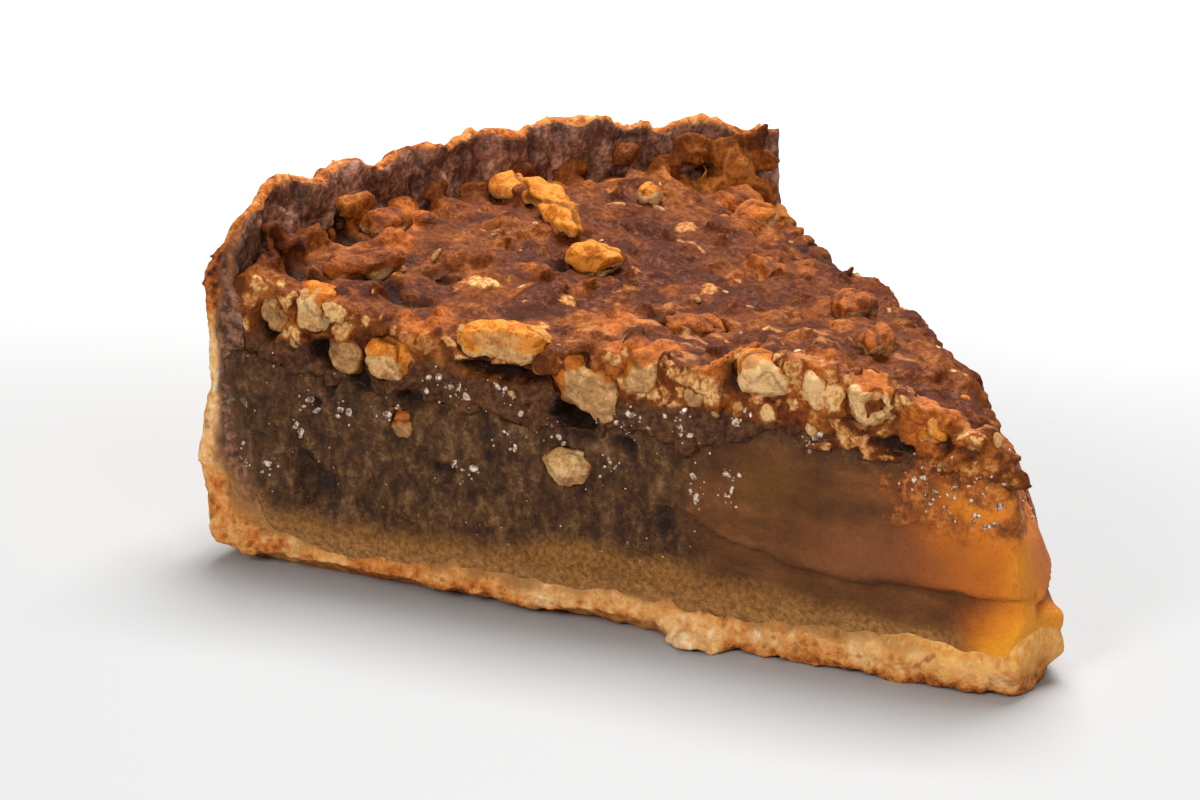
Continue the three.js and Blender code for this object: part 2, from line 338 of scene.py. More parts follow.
# How far the wall's faces are in from the pie's radius at each height, how high the floor is at
# each radius, and how brown the pastry is at each height: in its cut and on its back.
OUTER_WALL = [[0, 1.2, 3, 8, 14, 22, 28, 36, 42], [6, 2.2, 0.2, -0.2, -1.1, 1, 0.6, 0.7, 2.6]]
FLOOR_TOP = [[10, 40, 70, 100, 106], [5.6, 5.2, 4.6, 4.2, 4.8]]
INNER_WALL = [[0, 4, 8, 13, 20, 26, 32, 42], [12, 10, 7.4, 5.4, 4.2, 3.5, 4.4, 4.6]]
BROWNED_CUT = [[0, 1.2, 4, 7, 12, 20, 23, 28, 31, 34, 40],
               [0.72, 0.5, 0.5, 0.48, 0.38, 0.26, 0.1, 0.24, 0.66, 0.85, 0.9]]
BROWNED_BACK = [[0, 4, 12, 26, 34, 40, 44], [0.6, 0.5, 0.42, 0.45, 0.56, 0.64, 0.6]]

crust = fine_skin([node_form("crust")], grain=0.5, relax=3)
points = spots_of(crust)
level_cut(points, 1)
shape(crust, points)
facing = facing_of(crust)
radius, side, height = polar(points)
facing_out = -np.einsum("ij,ij->i", facing, inwards(points))
on_cut = cut_share(points, facing, (0.45, 0.8), (3, 1.5))
outer = np.interp(height, *OUTER_WALL)
inner = np.interp(height, *INNER_WALL)
through = np.clip(((PIE_RADIUS - radius) - outer) / (inner - outer), 0, 1)
in_wall = step(radius, 106, 110)
lining = step(-facing_out, 0.15, 0.5) * step(height, 18, 24) * (1 - on_cut)
under = step(-facing[:, 2], 0.4, 0.8)

# Relief: open crumb in the cuts and along the foot, flutes and cracks in the rim, and lumps of
# boiled-over syrup on the inner wall and in the dark upper part of the cut.
pit, _ = crumbs(points + 0.3 * ripple(points, 2, 4)[:, None], 1.5, 5)
coarse_pit, _ = crumbs(points, 3.4, 8)
crumbly = np.maximum(on_cut, step(height, 3.5, 1.5))
relief = 0.3 * ripple(points, 9, 1) + 0.18 * ripple(points, 3.6, 2) + 0.07 * ripple(points, 1.3, 3)
calm = 1 - 0.75 * on_cut * step(np.abs(to_joint(points)[0]), 2.6, 0.8)
relief += calm * crumbly * (0.5 * (pit - 0.45) + 0.6 * (coarse_pit - 0.5) + 0.2 * ripple(points, 0.9, 6))
frill = step(height, 27, 39)
flute = np.cos(8 * math.pi * (side + 1))
stud, stud_tone = crumbs(points * (1, 1, 0.8) + 0.8 * ripple(points, 3, 95)[:, None], 3.4, 96)
dark_cut = on_cut * in_wall * step(height + 1.5 * ripple(points, 4, 97), 11, 19) * step(through, 0.1, 0.5)
relief += lining * (0.35 * ripple(points, 1.6, 9) + 0.6 * ripple(points, 4.5, 10) + 1.2 * (0.5 - stud))
relief += (lining * frill * (0.7 * flute + 0.3)
           + calm * dark_cut * (0.7 * (0.5 - stud) + 0.3 * ripple(points, 1.2, 98)))
relief += frill * step(facing_out, 0.1, 0.5) * (0.5 * ripple(points, 7, 15) - 0.3 * flute)
crack = step(np.abs(ripple(points, 4.5, 11, (1, 1, 1.6))), 0.09, 0.0) * step(height, 24, 32) * (1 - on_cut)
relief -= 0.35 * crack * step(facing_out, -0.2, 0.3)
relief *= 1 - 0.8 * under
points = points + facing * relief[:, None]

# The lip of the rim is ragged and scalloped, the floor's edge lifts off the table in places, and
# a split runs above the flake that has broken down from the near edge.
lip = step(height, 34, 42)
points[:, 2] += lip * (0.8 * ripple(points, 6, 16) + 0.5 * ripple(points, 2.5, 17))
points[:, 2] += 0.9 * lip * (2 * step(flute, -1, 0.3) - 1 - flute)
points[:, 2] += 0.6 * lip * step(flute, 0.1, -0.9) * step(ripple(points, 16, 99), -0.25, 0.3)
edge = step(height, 3.2, 0.4) * step(cut_depth(points), 3.4, 0.4)
lift = np.interp(radius, [54, 64], [0.2, 1.0])
points[:, 2] += edge * (lift + (1 - in_wall) * (0.5 * ripple(points, 5, 18) + 0.5 * ripple(points, 2, 19)))
flake = step(radius, 54.5, 53) * step(radius, 45, 46.5) * step(under_cut(points, -1), -0.4, -1.1)
flake *= step(height, 5.5, 4.5)
split = step(np.abs(height - 4.6 - 0.4 * ripple(points, 3, 100)), 0.7, 0.1) * step(radius, 54, 52)
split *= step(radius, 40, 44)
split *= step(side, -0.9, -0.96)
points -= (0.8 * split)[:, None] * CUT_NORMALS[-1]
points[:, 2] = np.maximum(points[:, 2], 0)
shape(crust, points)

# Looks: how brown each place is, darker in the split as painted shade, where syrup soaked in from
# the filling, where it is steeped dark, and where the floor is bright under the tip: soaked syrup there,
# with painted light on it.
browned_floor = 0.42 + 0.3 * step(height, 1.4, 0.2) + 0.13 * step(radius, 68, 84)
browned = np.where(in_wall > 0.5, np.interp(height, *BROWNED_CUT), browned_floor)
browned += 0.12 * ripple(points, 7, 12) - 0.08 * step(radius, 40, 18)
browned = on_cut * browned + (1 - on_cut) * (np.interp(height, *BROWNED_BACK) + 0.1 * ripple(points, 8, 13))
browned += (1 - on_cut) * step(height, 36, 41) * (0.08 + 0.16 * ripple(points, 13, 101))
# The split is browned darker: painted shade in the crack.
browned = browned + flake * (0.26 - browned) + 0.5 * split
soaked_wall = step(through + 0.2 * ripple(points, 3, 20), 0.15, 0.7) * step(height, 2, 9)
soaked_floor = step(height + 1.2 * ripple(points, 3, 20), 2.2, 5.4)
steeped = np.where(in_wall > 0.5, step(height + 2 * ripple(points, 4, 14) + 7 * (through - 0.5), 7, 15), 0)
steeped = np.maximum(steeped, lining)
soaked = on_cut * np.where(in_wall > 0.5, soaked_wall, soaked_floor)
soaked = np.maximum(soaked, lining * step(facing[:, 2], 0.75, 0.35))
soaked *= 1 - flake
# Bright orange on the floor under the tip: syrup soaked in, and painted light over it.
syrupy = step(radius, 34, 15) * step(height + 1.2 * ripple(points, 3, 102), 1.5, 5)
# Stud: each syrup lump's own random tone, lighter on its crown; the low ground between lumps is painted
# shade.
mark(crust, browned=browned, soaked=soaked, steeped=steeped, crumbly=crumbly * (1 - flake), pit=pit,
     syrupy=syrupy, stud=stud_tone * 0.6 + 0.4 * step(stud, 0.8, 0.3), dark_cut=dark_cut)

pastry = Finish("baked_pastry")
grainy = pastry.noise(0.9, 4)
cloudy = pastry.noise(5, 3)
spotty = pastry.noise(2.2, 3, 0.7)
browned = pastry.mark("browned") + (grainy - 0.5) * 0.9 + (spotty - 0.5) * 1.0 + (cloudy - 0.5) * 0.4
tint = pastry.tones(
    browned,
    (0.0, colour(250, 224, 184)), (0.22, colour(236, 184, 120)), (0.45, colour(220, 150, 80)),
    (0.65, colour(196, 112, 46)), (0.85, colour(130, 64, 28)), (1.0, colour(66, 32, 18)))
soaked = pastry.mark("soaked") * (1 + 0.9 * (cloudy + grainy - 1))
# Painted highlight: bright cream flecks over the paler pastry.
tint = pastry.over(tint, grainy.step(0.58, 0.7) * browned.step(0.75, 0.4) * 0.6, colour(250, 208, 150))
# On the steeped lining the stud mark darkens the low ground between the lumps: painted shade.
steeped = pastry.tones(
    grainy.spread() * 0.35 + cloudy.spread() * 0.25 + pastry.mark("stud") * 0.4,
    (0.2, colour(54, 32, 27)), (0.45, colour(106, 68, 53)), (0.65, colour(144, 96, 72)),
    (0.9, colour(190, 138, 112)))
steeped = pastry.over(steeped, pastry.mark("dark_cut") * 0.7, pastry.tones(
    grainy.spread() * 0.6 + spotty.spread() * 0.4,
    (0.15, colour(44, 24, 15)), (0.5, colour(88, 58, 36)), (0.9, colour(138, 100, 72))))
steeped = pastry.over(pastry.tones(grainy, (0.3, colour(136, 88, 42)), (0.7, colour(184, 130, 72))),
                      pastry.mark("steeped"), steeped)
tint = pastry.over(tint, soaked.step(0.2, 0.95), steeped)
# Under the tip: the soaked syrup's colour, with painted light over it.
tint = pastry.over(tint, pastry.mark("syrupy") * (cloudy.step(0.36, 0.6) * 0.3 + 0.65), pastry.tones(
    grainy, (0.35, colour(236, 146, 54)), (0.65, colour(255, 204, 118))))
# Painted shade: the crumb's pits are darkened.
pit_shade = pastry.mark("crumbly") * pastry.mark("pit").step(0.4, 0.12)
tint = pastry.over(tint, pit_shade * 0.7, colour(140, 80, 36))
pastry.wear(
    base_color=tint,
    roughness=0.85 - soaked.step(0.3, 0.8) * 0.35,
    coat_weight=pastry.mark("steeped") * cloudy.step(0.5, 0.7) * 0.12,
    coat_roughness=0.3,
    specular_ior_level=0.15,
    normal=pastry.bump(grainy * 0.5 + spotty * 0.5, 0.9))
lay(crust, "pastry_crust", pastry, "crust", "crust")

# ---- Filling ----
# Syrup, egg and butter baked to a set custard. The knife dragged it: granular and wet in the
# deep part, waxy with one smeared fold towards the tip, and clear amber at the tip itself, where the glow
# of light through the thin syrup is painted in.

# Heights at each radius in the cut: the top of the pale soaked layer over the floor, and the
# smeared fold. Each cavity is a radius, a height, half sizes both ways and a depth.
TAN_LINE = [[8, 20, 34, 43, 52, 60, 69, 76, 88, 99, 108, 112],
            [3.5, 5.2, 6.6, 7.4, 8.6, 9.5, 9, 6.8, 6.5, 6, 7, 12]]
FOLD_LINE = [[9, 13, 18, 25, 31, 38, 45, 52, 56], [11, 11.6, 12, 11.5, 10.8, 11.3, 13.7, 16.3, 20]]
CAVITIES = [(76, 28.8, 6.3, 0.9, 2.2), (66.3, 24.9, 3, 2, 3), (99.4, 27.8, 1.9, 1.7, 2.4),
            (94.8, 25.2, 1.7, 1.4, 1.8), (107, 29.5, 1.6, 1.2, 2), (88, 23.6, 1.8, 1.2, 1),
            (83, 16, 1.5, 0.8, 0.8), (101, 21.5, 1.2, 0.8, 1), (59.5, 22.5, 1.6, 1, 1),
            (26, 27.4, 2, 1, 1.6), (102, 15, 1.2, 0.8, 0.8)]


def hollows(points):
    """How deep the cut faces are torn out where nuts left gaps."""
    radius, side, height = polar(points)
    whole_tip = np.where(side < 0, 1, step(radius, 30, 38))
    radius = np.where(side < 0, radius, 124 - radius) + ripple(points, 2.5, 26)
    height = height + 0.5 * ripple(points, 2, 27)
    depths = [depth * step(np.hypot((radius - where_r) / half_r, (height - where_z) / half_z), 1.4, 0.4)
              for where_r, where_z, half_r, half_z, depth in CAVITIES]
    return whole_tip * np.max(depths, axis=0)


def tear_out(points, side, depth):
    """Pulls the skin of the cut faces in by a depth."""
    points -= (depth * (side < 0))[:, None] * CUT_NORMALS[-1]
    points -= (depth * (side > 0))[:, None] * CUT_NORMALS[1]


filling = fine_skin([node_form("filling")], grain=0.46, relax=3)
points = spots_of(filling)
# The tip is soft and rounded off: there it takes the form of a much smoother skin.
slumped = spots_of(fine_skin([node_form("filling")], grain=0.46, relax=60))
points += step(polar(points)[0], 24, 13)[:, None] * (slumped - points)
level_cut(points, -1)
shape(filling, points)
facing = facing_of(filling)
radius, side, height = polar(points)
near = side < 0
on_cut = cut_share(points, facing, (0.3, 0.7), (5, 3))

# The zones of the cuts follow a wavering radius and height. They waver more in the far cut, so
# that it isn't a mirror of the near one.
warp_r = radius + 2.2 * ripple(points, 7, 21)
warp_r += np.where(near, 0, 9 * ripple(points, 25, 22) * step(radius, 18, 30))
warp_z = height + 0.8 * ripple(points, 5, 23) + np.where(near, 0, 2.5 * ripple(points, 19, 24))
waxy = step(warp_r, 54, 46) * step(warp_z, 27, 23.5)
bubbly = step(warp_r, 30, 24) * step(warp_z, 15.5, 21) * step(warp_z, 30, 27)
bubbly *= step(ripple(points, 4, 25), -0.6, 0.1)
above_fold = warp_z - np.interp(warp_r, *FOLD_LINE)
fold = step(above_fold, -0.25, 0.25) * np.exp(-np.maximum(above_fold, 0) / 4.5) * step(warp_r, 55, 50)
groove = np.exp(-((above_fold + 0.45) / 0.45) ** 2) * step(warp_r, 54, 49)
blush = step(above_fold, 0.2, 1.5) * step(above_fold, 8, 4) * step(warp_r, 40, 30) * step(warp_r, 12, 17)
tan = step(warp_z - np.interp(warp_r, *TAN_LINE), 3.2, -1.5)
# Amber at the thin tip: the syrup's own colour, with the light shining through it painted in.
amber = step(warp_r, 31, 12) * (0.72 + 0.28 * step(warp_z, 14, 6))
amber += 0.25 * step(warp_r, 26, 17) * step(warp_z, 15, 21)
amber *= 1 - 0.85 * step(above_fold, 0.7, -0.7) * step(warp_r, 11, 19)
# Painted glow: the light through the thinnest part of the tip, painted as bright orange.
glow = step(warp_r + 0.3 * warp_z, 19.5, 11.5)
by_pastry = step(to_joint(points)[0] + 0.5 * ripple(points, 2.5, 39), 2.4, 0.2)
shaded = by_pastry * step(height, 9, 12) * step(height, 24, 19)
by_pastry *= step(height, 12, 8)
olive = step(np.hypot((warp_r - 42) / 4.5, (warp_z - 21) / 4.2), 1, 0.3)
hollow = on_cut * hollows(points)

# Relief: lumps, grit and pocks where it is granular, a raised fold, and foam where it bubbled.
bubble, bubble_tone = crumbs(points, 1.3, 28)
granular = on_cut * (1 - waxy) * (1 - tan * 0.6) * (1 - bubbly)
lump, lump_tone = crumbs(points * (1, 1, 0.75) + 0.5 * ripple(points, 2, 30)[:, None], 2.5, 34)
grain, grain_tone = crumbs(points * (1, 1, 0.8), 1.2, 36)
close_by = step(np.abs(to_joint(points)[0]), 1, 3)
relief = 0.2 + 0.5 * ripple(points, 9, 29) * on_cut * (0.3 + 0.7 * close_by)
relief += granular * close_by * (1.0 * (0.5 - lump) + 0.35 * (0.5 - grain) + 0.45 * ripple(points, 4, 31))
pocks = step(ripple(points, 3.6, 33, (1, 1, 1.4)), 0.35, 0.75) * granular
relief -= 0.8 * pocks
relief += (on_cut * (0.9 * fold - 0.3 * groove)
           + bubbly * (0.7 * (0.45 - bubble) + 0.4 * ripple(points, 2.6, 38)))
points = points + facing * relief[:, None]
tear_out(points, side, hollow)
shape(filling, points)
seed_tone = 0.6 * lump_tone + 0.4 * grain_tone
mark(filling, waxy=waxy, bubbly=bubbly, groove=groove, blush=blush, tan=tan, amber=amber, olive=olive,
     glow=glow, by_pastry=by_pastry * on_cut, shaded=shaded * on_cut,
     hollow=np.clip(hollow, 0, 1) + pocks * 0.4, seed_tone=np.where(bubbly > 0.4, bubble_tone, seed_tone),
     gap=np.where(bubbly > 0.4, bubble, 0.7 * lump + 0.3 * grain))

custard = Finish("set_syrup_filling")
streaks = custard.noise(1.8, 4, 0.65, (1, 1, 2.2))
grit = custard.noise(1.0, 4, 0.75)
damp = custard.noise(2.0, 3, 0.7)
smears = custard.noise(2.4, 4, 0.6, (3, 3, 1))
fine = custard.noise(0.6, 3)
clouds = custard.noise(7, 3)
seed_tone = custard.mark("seed_tone")
dark = custard.tones(
    seed_tone * 0.2 + grit.spread() * 0.25 + streaks.spread() * 0.3 + clouds * 0.25,
    (0.15, colour(38, 20, 12)), (0.4, colour(72, 43, 20)), (0.6, colour(95, 61, 30)),
    (0.85, colour(138, 101, 62)))
# Painted shade: darker in the low ground between the lumps.
dark = custard.over(dark, custard.mark("gap").step(0.5, 0.95) * 0.6, colour(42, 24, 15))
smooth = custard.tones(clouds * 0.5 + smears * 0.5, (0.35, colour(80, 44, 16)), (0.52, colour(108, 63, 26)),
                       (0.68, colour(139, 85, 42)))
tint = custard.over(dark, custard.mark("waxy"), smooth)
tint = custard.over(tint, custard.mark("olive") * 0.7, colour(104, 66, 16))
tint = custard.over(tint, custard.mark("blush") * 0.6, colour(150, 86, 48))
tan = (custard.mark("tan") + (fine - 0.5) * 0.3 + (clouds - 0.5) * 0.3).step(0.05, 1.0)
tint = custard.over(tint, tan, custard.tones(
    fine, (0.35, colour(118, 73, 28)), (0.65, colour(166, 112, 51))))
tint = custard.over(tint, custard.mark("by_pastry") * 0.75, custard.tones(
    fine, (0.35, colour(140, 92, 44)), (0.65, colour(188, 134, 74))))
tint = custard.over(tint, custard.mark("shaded") * 0.6, colour(108, 70, 40))
# Amber at the tip: the syrup's colour and a painted glow of light through it.
amber = custard.mark("amber") + (clouds - 0.5) * 0.4
tint = custard.over(tint, amber.step(0.05, 0.9), custard.tones(
    amber, (0.3, colour(178, 88, 22)), (0.75, colour(216, 118, 26)), (1.1, colour(240, 142, 34))))
# Painted glow at the tip.
glow = (custard.mark("glow") + (clouds - 0.5) * 0.4).step(0.1, 0.95)
tint = custard.over(tint, glow * 0.95, colour(255, 166, 38))
foam = (custard.mark("bubbly") + (grit.spread() - 0.5) * 0.5).step(0.1, 1.0)
tint = custard.over(tint, foam * 0.85, custard.tones(
    seed_tone * 0.4 + grit.spread() * 0.3 + fine.spread() * 0.3,
    (0.15, colour(92, 42, 14)), (0.5, colour(156, 78, 24)), (0.85, colour(214, 132, 60))))
# Painted shade: darker in the low ground between the bubbles.
tint = custard.over(tint, foam * custard.mark("gap").step(0.45, 0.8) * 0.6, colour(84, 38, 14))
# Painted shade in the groove under the smeared fold.
tint = custard.over(tint, custard.mark("groove") * 0.25, colour(90, 48, 22))
# Painted shade: the torn-out hollows and the pocks are near black.
tint = custard.over(tint, custard.mark("hollow"), colour(30, 15, 10))
wet = damp.step(0.48, 0.58) * (1 - 0.8 * custard.mark("waxy"))
custard.wear(
    base_color=tint,
    roughness=0.7 - wet * 0.5,
    specular_ior_level=0.25,
    subsurface_weight=0.15,
    subsurface_radius=(0.004, 0.0018, 0.0008),
    subsurface_scale=1.0,
    normal=custard.bump(streaks * 0.3 + grit * 0.5 + fine * 0.2, 1.3))
lay(filling, "syrup_filling", custard, "filling", "filling")

# ---- Nut layer ----
# Chopped pecans that floated up through the filling and baked into one puffed, glazed sheet.
# Each chopped piece keeps its facets under the glaze; in the cut faces the knife bares flesh.

IN_CUT = [f"pecan_in_near_face_{number}" for number in range(1, 15)]
IN_CUT += [f"pecan_in_far_face_{number}" for number in range(1, 7)]
ON_TOP = [f"pecan_on_top_{number}" for number in range(1, 11)] + ["pecan_bent_sliver"]

# The height of the sheet's underside at each radius, and how far a piece may stand out of it.
SHEET_UNDERSIDE = [[12, 30, 55, 110], [25.5, 27, 26, 27]]
STANDS_OUT = 1.1


def place_at(radius, side, height):
    """The point at a radius from the pie's centre, a side from -1 to 1 and a height."""
    turn = side * HALF_ANGLE
    return np.array((PIE_CENTRE_X - radius * math.cos(turn), radius * math.sin(turn), height))


# Deep gaps between the nuts, painted near black as shade, and patches of orange glaze: radius, side and
# height of each.
GAPS_PAINTED_IN_SHADE = [place_at(*place) for place in (
    (110.5, -0.89, 38), (107.5, -0.84, 36), (104, -0.87, 35), (111, -0.65, 38), (111.4, -0.57, 38.5),
    (108.6, -0.58, 36.5), (101.9, -0.69, 34.5), (98.6, -0.73, 34.2), (95.7, -0.76, 34),
    (92.5, -0.8, 34), (96.4, -0.12, 33.5), (89.6, -0.18, 33.5), (85.8, -0.24, 33.5),
    (46, -0.96, 32.5), (93.4, -0.57, 34), (112, 0.75, 36), (78, -0.97, 33), (66, -0.97, 33),
    (101, -0.93, 33), (19.6, -0.97, 28.4), (16.8, -0.95, 28))]
ORANGE_PATCHES = [place_at(*place) for place in (
    (67.8, -0.55, 35), (58.7, -0.75, 35), (86.4, -0.95, 33), (99, 0.76, 34), (19.5, -0.95, 30),
    (22, -0.9, 31), (108, -0.35, 37), (104, -0.5, 35), (60, -0.95, 32), (48, -0.9, 34),
    (36, -0.93, 33), (75, -0.8, 35))]

# Pieces that lean on the wall: where, half length and half height, and how light they are.
LEANING = [
    ((110.2, -0.5, 39.2), 4.8, 2.0, 0.95), ((109.8, -0.69, 37.8), 3.2, 1.9, 0.6),
    ((110.0, -0.87, 39.4), 2.8, 2.3, 0.1), ((109.4, -0.79, 36.8), 2.8, 1.9, 0.05),
    ((109.0, -0.91, 36.2), 2.4, 1.9, 0.15), ((110.6, -0.3, 37.4), 3.2, 1.6, 0.3),
    ((111.0, -0.16, 38.8), 2.6, 1.4, 0.25), ((111.1, -0.02, 37.6), 2.8, 1.5, 0.35),
    ((111.3, 0.15, 39.0), 2.6, 1.3, 0.2), ((111.0, 0.33, 37.8), 3.2, 1.6, 0.3),
    ((111.2, 0.5, 38.8), 2.4, 1.5, 0.25), ((110.8, 0.64, 37.2), 2.6, 1.7, 0.45),
    ((110.2, 0.86, 36.2), 2.0, 2.8, 1.0), ((110.9, 0.72, 38.4), 2.2, 1.4, 0.2),
    ((110.6, -0.42, 36.6), 2.6, 1.4, 0.5)]


def ball(fineness):
    """A round ball of even triangles."""
    made = bmesh.new()
    bmesh.ops.create_icosphere(made, subdivisions=fineness, radius=1)
    points = np.array([vertex.co[:] for vertex in made.verts])
    faces = [tuple(vertex.index for vertex in face.verts) for face in made.faces]
    made.free()
    return points, faces


class Piece:
    """One chopped piece of pecan: a ball pressed by random flats, stretched and turned."""

    def __init__(self, dice_roll, centre, half, turn, pressed=9):
        self.centre = np.array(centre, float)
        self.half = np.array(half, float)
        self.turn = turn
        normals = dice_roll.normal(size=(pressed, 3))
        self.normals = normals / np.linalg.norm(normals, axis=1)[:, None]
        self.reach = dice_roll.uniform(0.55, 0.9, pressed)
        self.tone = dice_roll.uniform()
        self.bare_way = self.normals[0]
        self.seed = int(dice_roll.integers(1000))

    def edge(self, ways):
        """How far the pressed ball reaches in each direction."""
        pressed = np.maximum(0, ways @ self.normals.T / self.reach) ** 12
        return (1 + pressed.sum(axis=1)) ** (-1 / 12)

    def form(self, round_ball):
        """Its points and faces, pressed out of a round ball."""
        ways, faces = round_ball
        inside = ways * self.edge(ways)[:, None] * self.half
        return inside @ self.turn.T + self.centre, faces

    def measure(self, points):
        """Each point in the piece's own axes, and how far out it is, 1 on the surface."""
        own = (points - self.centre) @ self.turn / self.half
        far = np.linalg.norm(own, axis=1) + 1e-9
        return own, far / self.edge(own / far[:, None])


def frame_of(long, up):
    """Axes of a piece: its length, width and thickness."""
    up = up / np.linalg.norm(up)
    long = long - up * (long @ up)
    long = long / np.linalg.norm(long)
    return np.stack([long, np.cross(up, long), up], axis=1)


def extent(points):
    """The middle of the box round some points, and half its size."""
    low, high = points.min(axis=0), points.max(axis=0)
    return (low + high) / 2, (high - low) / 2


def cut_of(node):
    """The way the cut face faces that a large piece stands in."""
    return CUT_NORMALS[-1 if "near" in node else 1]


def face_axes(cut):
    """The level way and the upright way within a cut face, as columns."""
    return np.stack([(-cut[1], cut[0], 0), (0, 0, 1)]).T


layer_form = node_form("pecan_layer")
layer_points, layer_polygons = layer_form
corners = layer_points[np.array([face[:3] for face in layer_polygons])]
crosses = np.cross(corners[:, 1] - corners[:, 0], corners[:, 2] - corners[:, 0])
areas = np.linalg.norm(crosses, axis=1) / 2
directions = crosses / (2 * areas[:, None] + 1e-9)
larger_nuts = [extent(node_form(node)[0]) for node in IN_CUT + ON_TOP]

chance = np.random.default_rng(41)


def scattered(spacing, tries, clear, in_cut):
    """Spots on the sheet's top, or in its cut faces, no closer than spacing, and their facings."""
    picks = chance.choice(len(areas), tries, p=areas / areas.sum())
    shares = chance.dirichlet((1, 1, 1), tries)
    kept, ways = np.empty((0, 3)), []
    for pick, share in zip(picks, shares):
        spot = share @ corners[pick]
        way = directions[pick]
        radius = math.hypot(PIE_CENTRE_X - spot[0], spot[1])
        wanted = max(way @ cut for cut in CUT_NORMALS.values()) > 0.6 if in_cut else way[2] > 0.25
        if not wanted or radius > 110 or radius < 8:
            continue
        if len(kept) and np.linalg.norm(kept - spot, axis=1).min() < spacing:
            continue
        if any(np.linalg.norm((spot - centre) / (half * clear + 0.4)) < 1 for centre, half in larger_nuts):
            continue
        kept = np.vstack([kept, spot[None, :]])
        ways.append(way)
    return kept, ways


def chop(found, least, most, sink, lean):
    """Chopped pieces at the spots found, of half sizes least to most, sunk and leant at will."""
    pieces = []
    for spot, way in zip(*found):
        half = chance.uniform(least, most)
        spot = spot - way * chance.uniform(*sink)
        turn = frame_of(chance.normal(size=3), way + lean * chance.normal(size=3))
        pieces.append(Piece(chance, spot, half, turn))
    return pieces


chopped = chop(scattered(5.4, 6000, 1.25, False), (3.0, 1.9, 1.2), (5.4, 3.0, 1.9), (0.5, 1.5), 0.3)
chopped += chop(scattered(3.4, 9000, 1.0, False), (1.3, 1.0, 0.7), (2.8, 1.8, 1.2), (0.2, 0.9), 0.6)
chopped += chop(scattered(4.2, 6000, 1.15, True), (2.0, 1.5, 1.2), (3.6, 2.4, 2.0), (0.2, 1.2), 0.5)
chopped += chop(scattered(2.6, 9000, 1.1, True), (0.9, 0.8, 0.7), (1.8, 1.4, 1.1), (-0.3, 0.5), 0.9)

# Small pieces hang along the underside of the sheet in both cuts, two in the near one for each
# in the far one.
for number in range(44):
    out, cut = (chance.uniform(14, 108), -1) if number % 3 else (chance.uniform(34, 108), 1)
    rise = np.interp(out, *SHEET_UNDERSIDE) + chance.uniform(-2.6, 0.6)
    spot = place_at(out, cut * (1 - 1 / out), rise)
    if all(np.linalg.norm((spot - centre) / (half + 0.8)) > 1 for centre, half in larger_nuts):
        half = chance.uniform((1.1, 0.9, 0.9), (2.4, 1.7, 1.5))
        chopped.append(Piece(chance, spot, half, frame_of(chance.normal(size=3), chance.normal(size=3))))

# One row of pieces is stuck to the wall all along. Two more rows stand above its far end only.
for number in range(150):
    share = (number % 50 + chance.uniform(0, 1)) / 50
    climb = step(share, 0.42, 0.3) + step(share, 0.84, 0.9)
    side = 1.88 * share - 0.94
    turn = HALF_ANGLE * side
    rise = (31.5, 34.5, 37)[number // 50] + 1.5 * climb + chance.uniform(-1.5, 1.5)
    out = PIE_RADIUS - np.interp(rise, *INNER_WALL) - chance.uniform(0, 2.2 if number < 50 else 0.8)
    facing_in = np.array((math.cos(turn), -math.sin(turn), 0))
    spot = place_at(out, side, rise)
    half = chance.uniform((1.7, 1.3, 1.0), (3.4, 2.3, 1.7)) * (1, 0.85, 1 if number < 50 else 0.55)
    along = np.array((-facing_in[1], facing_in[0], 0)) + 0.3 * chance.normal(size=3)
    stuck = Piece(chance, spot, half, frame_of(along, facing_in + 0.3 * chance.normal(size=3)))
    if number < 50 or share > 0.84:
        chopped.append(stuck)

# The pieces that lean on the wall lie flat against it.
leaning = np.random.default_rng(71)
for place, half_long, half_tall, lightness in LEANING:
    turn = place[1] * HALF_ANGLE
    wallward = np.array((-math.cos(turn), math.sin(turn), 0))
    along = np.array((wallward[1], -wallward[0], 0.25 * leaning.normal()))
    leant = Piece(leaning, place_at(*place), (half_long, half_tall, 1.7), frame_of(along, wallward))
    leant.tone = lightness
    chopped.append(leant)

# Small pieces crowd round each larger nut in the cuts, so that it sits in the sheet.
solid = BVHTree.FromPolygons([Vector(point) for point in layer_points], layer_polygons)
collar = np.random.default_rng(47)
for node in IN_CUT:
    axes = face_axes(cut_of(node))
    nut = node_form(node)[0]
    middle, _ = extent(nut)
    wide = np.abs((nut - middle) @ axes).max(axis=0)
    for turn in np.arange(0, 6.2, 0.62):
        reach = (wide + 0.6) * collar.uniform(0.9, 1.15) * (math.cos(turn), math.sin(turn))
        home, _, _, gap = solid.find_nearest(Vector(middle + reach[0] * axes[:, 0] + (0, 0, reach[1])))
        half = collar.uniform((1.0, 0.9, 0.8), (2.3, 1.5, 1.2))
        if gap < 2.5:
            turned = frame_of(collar.normal(size=3), collar.normal(size=3))
            chopped.append(Piece(collar, np.array(home), half, turned))


def slumped_glaze(points):
    """Where smooth glaze has run down the far side of the tip."""
    radius, side, height = polar(points)
    return step(radius, 36, 28) * step(height, 27, 23) * step(side, 0.1, 0.5)


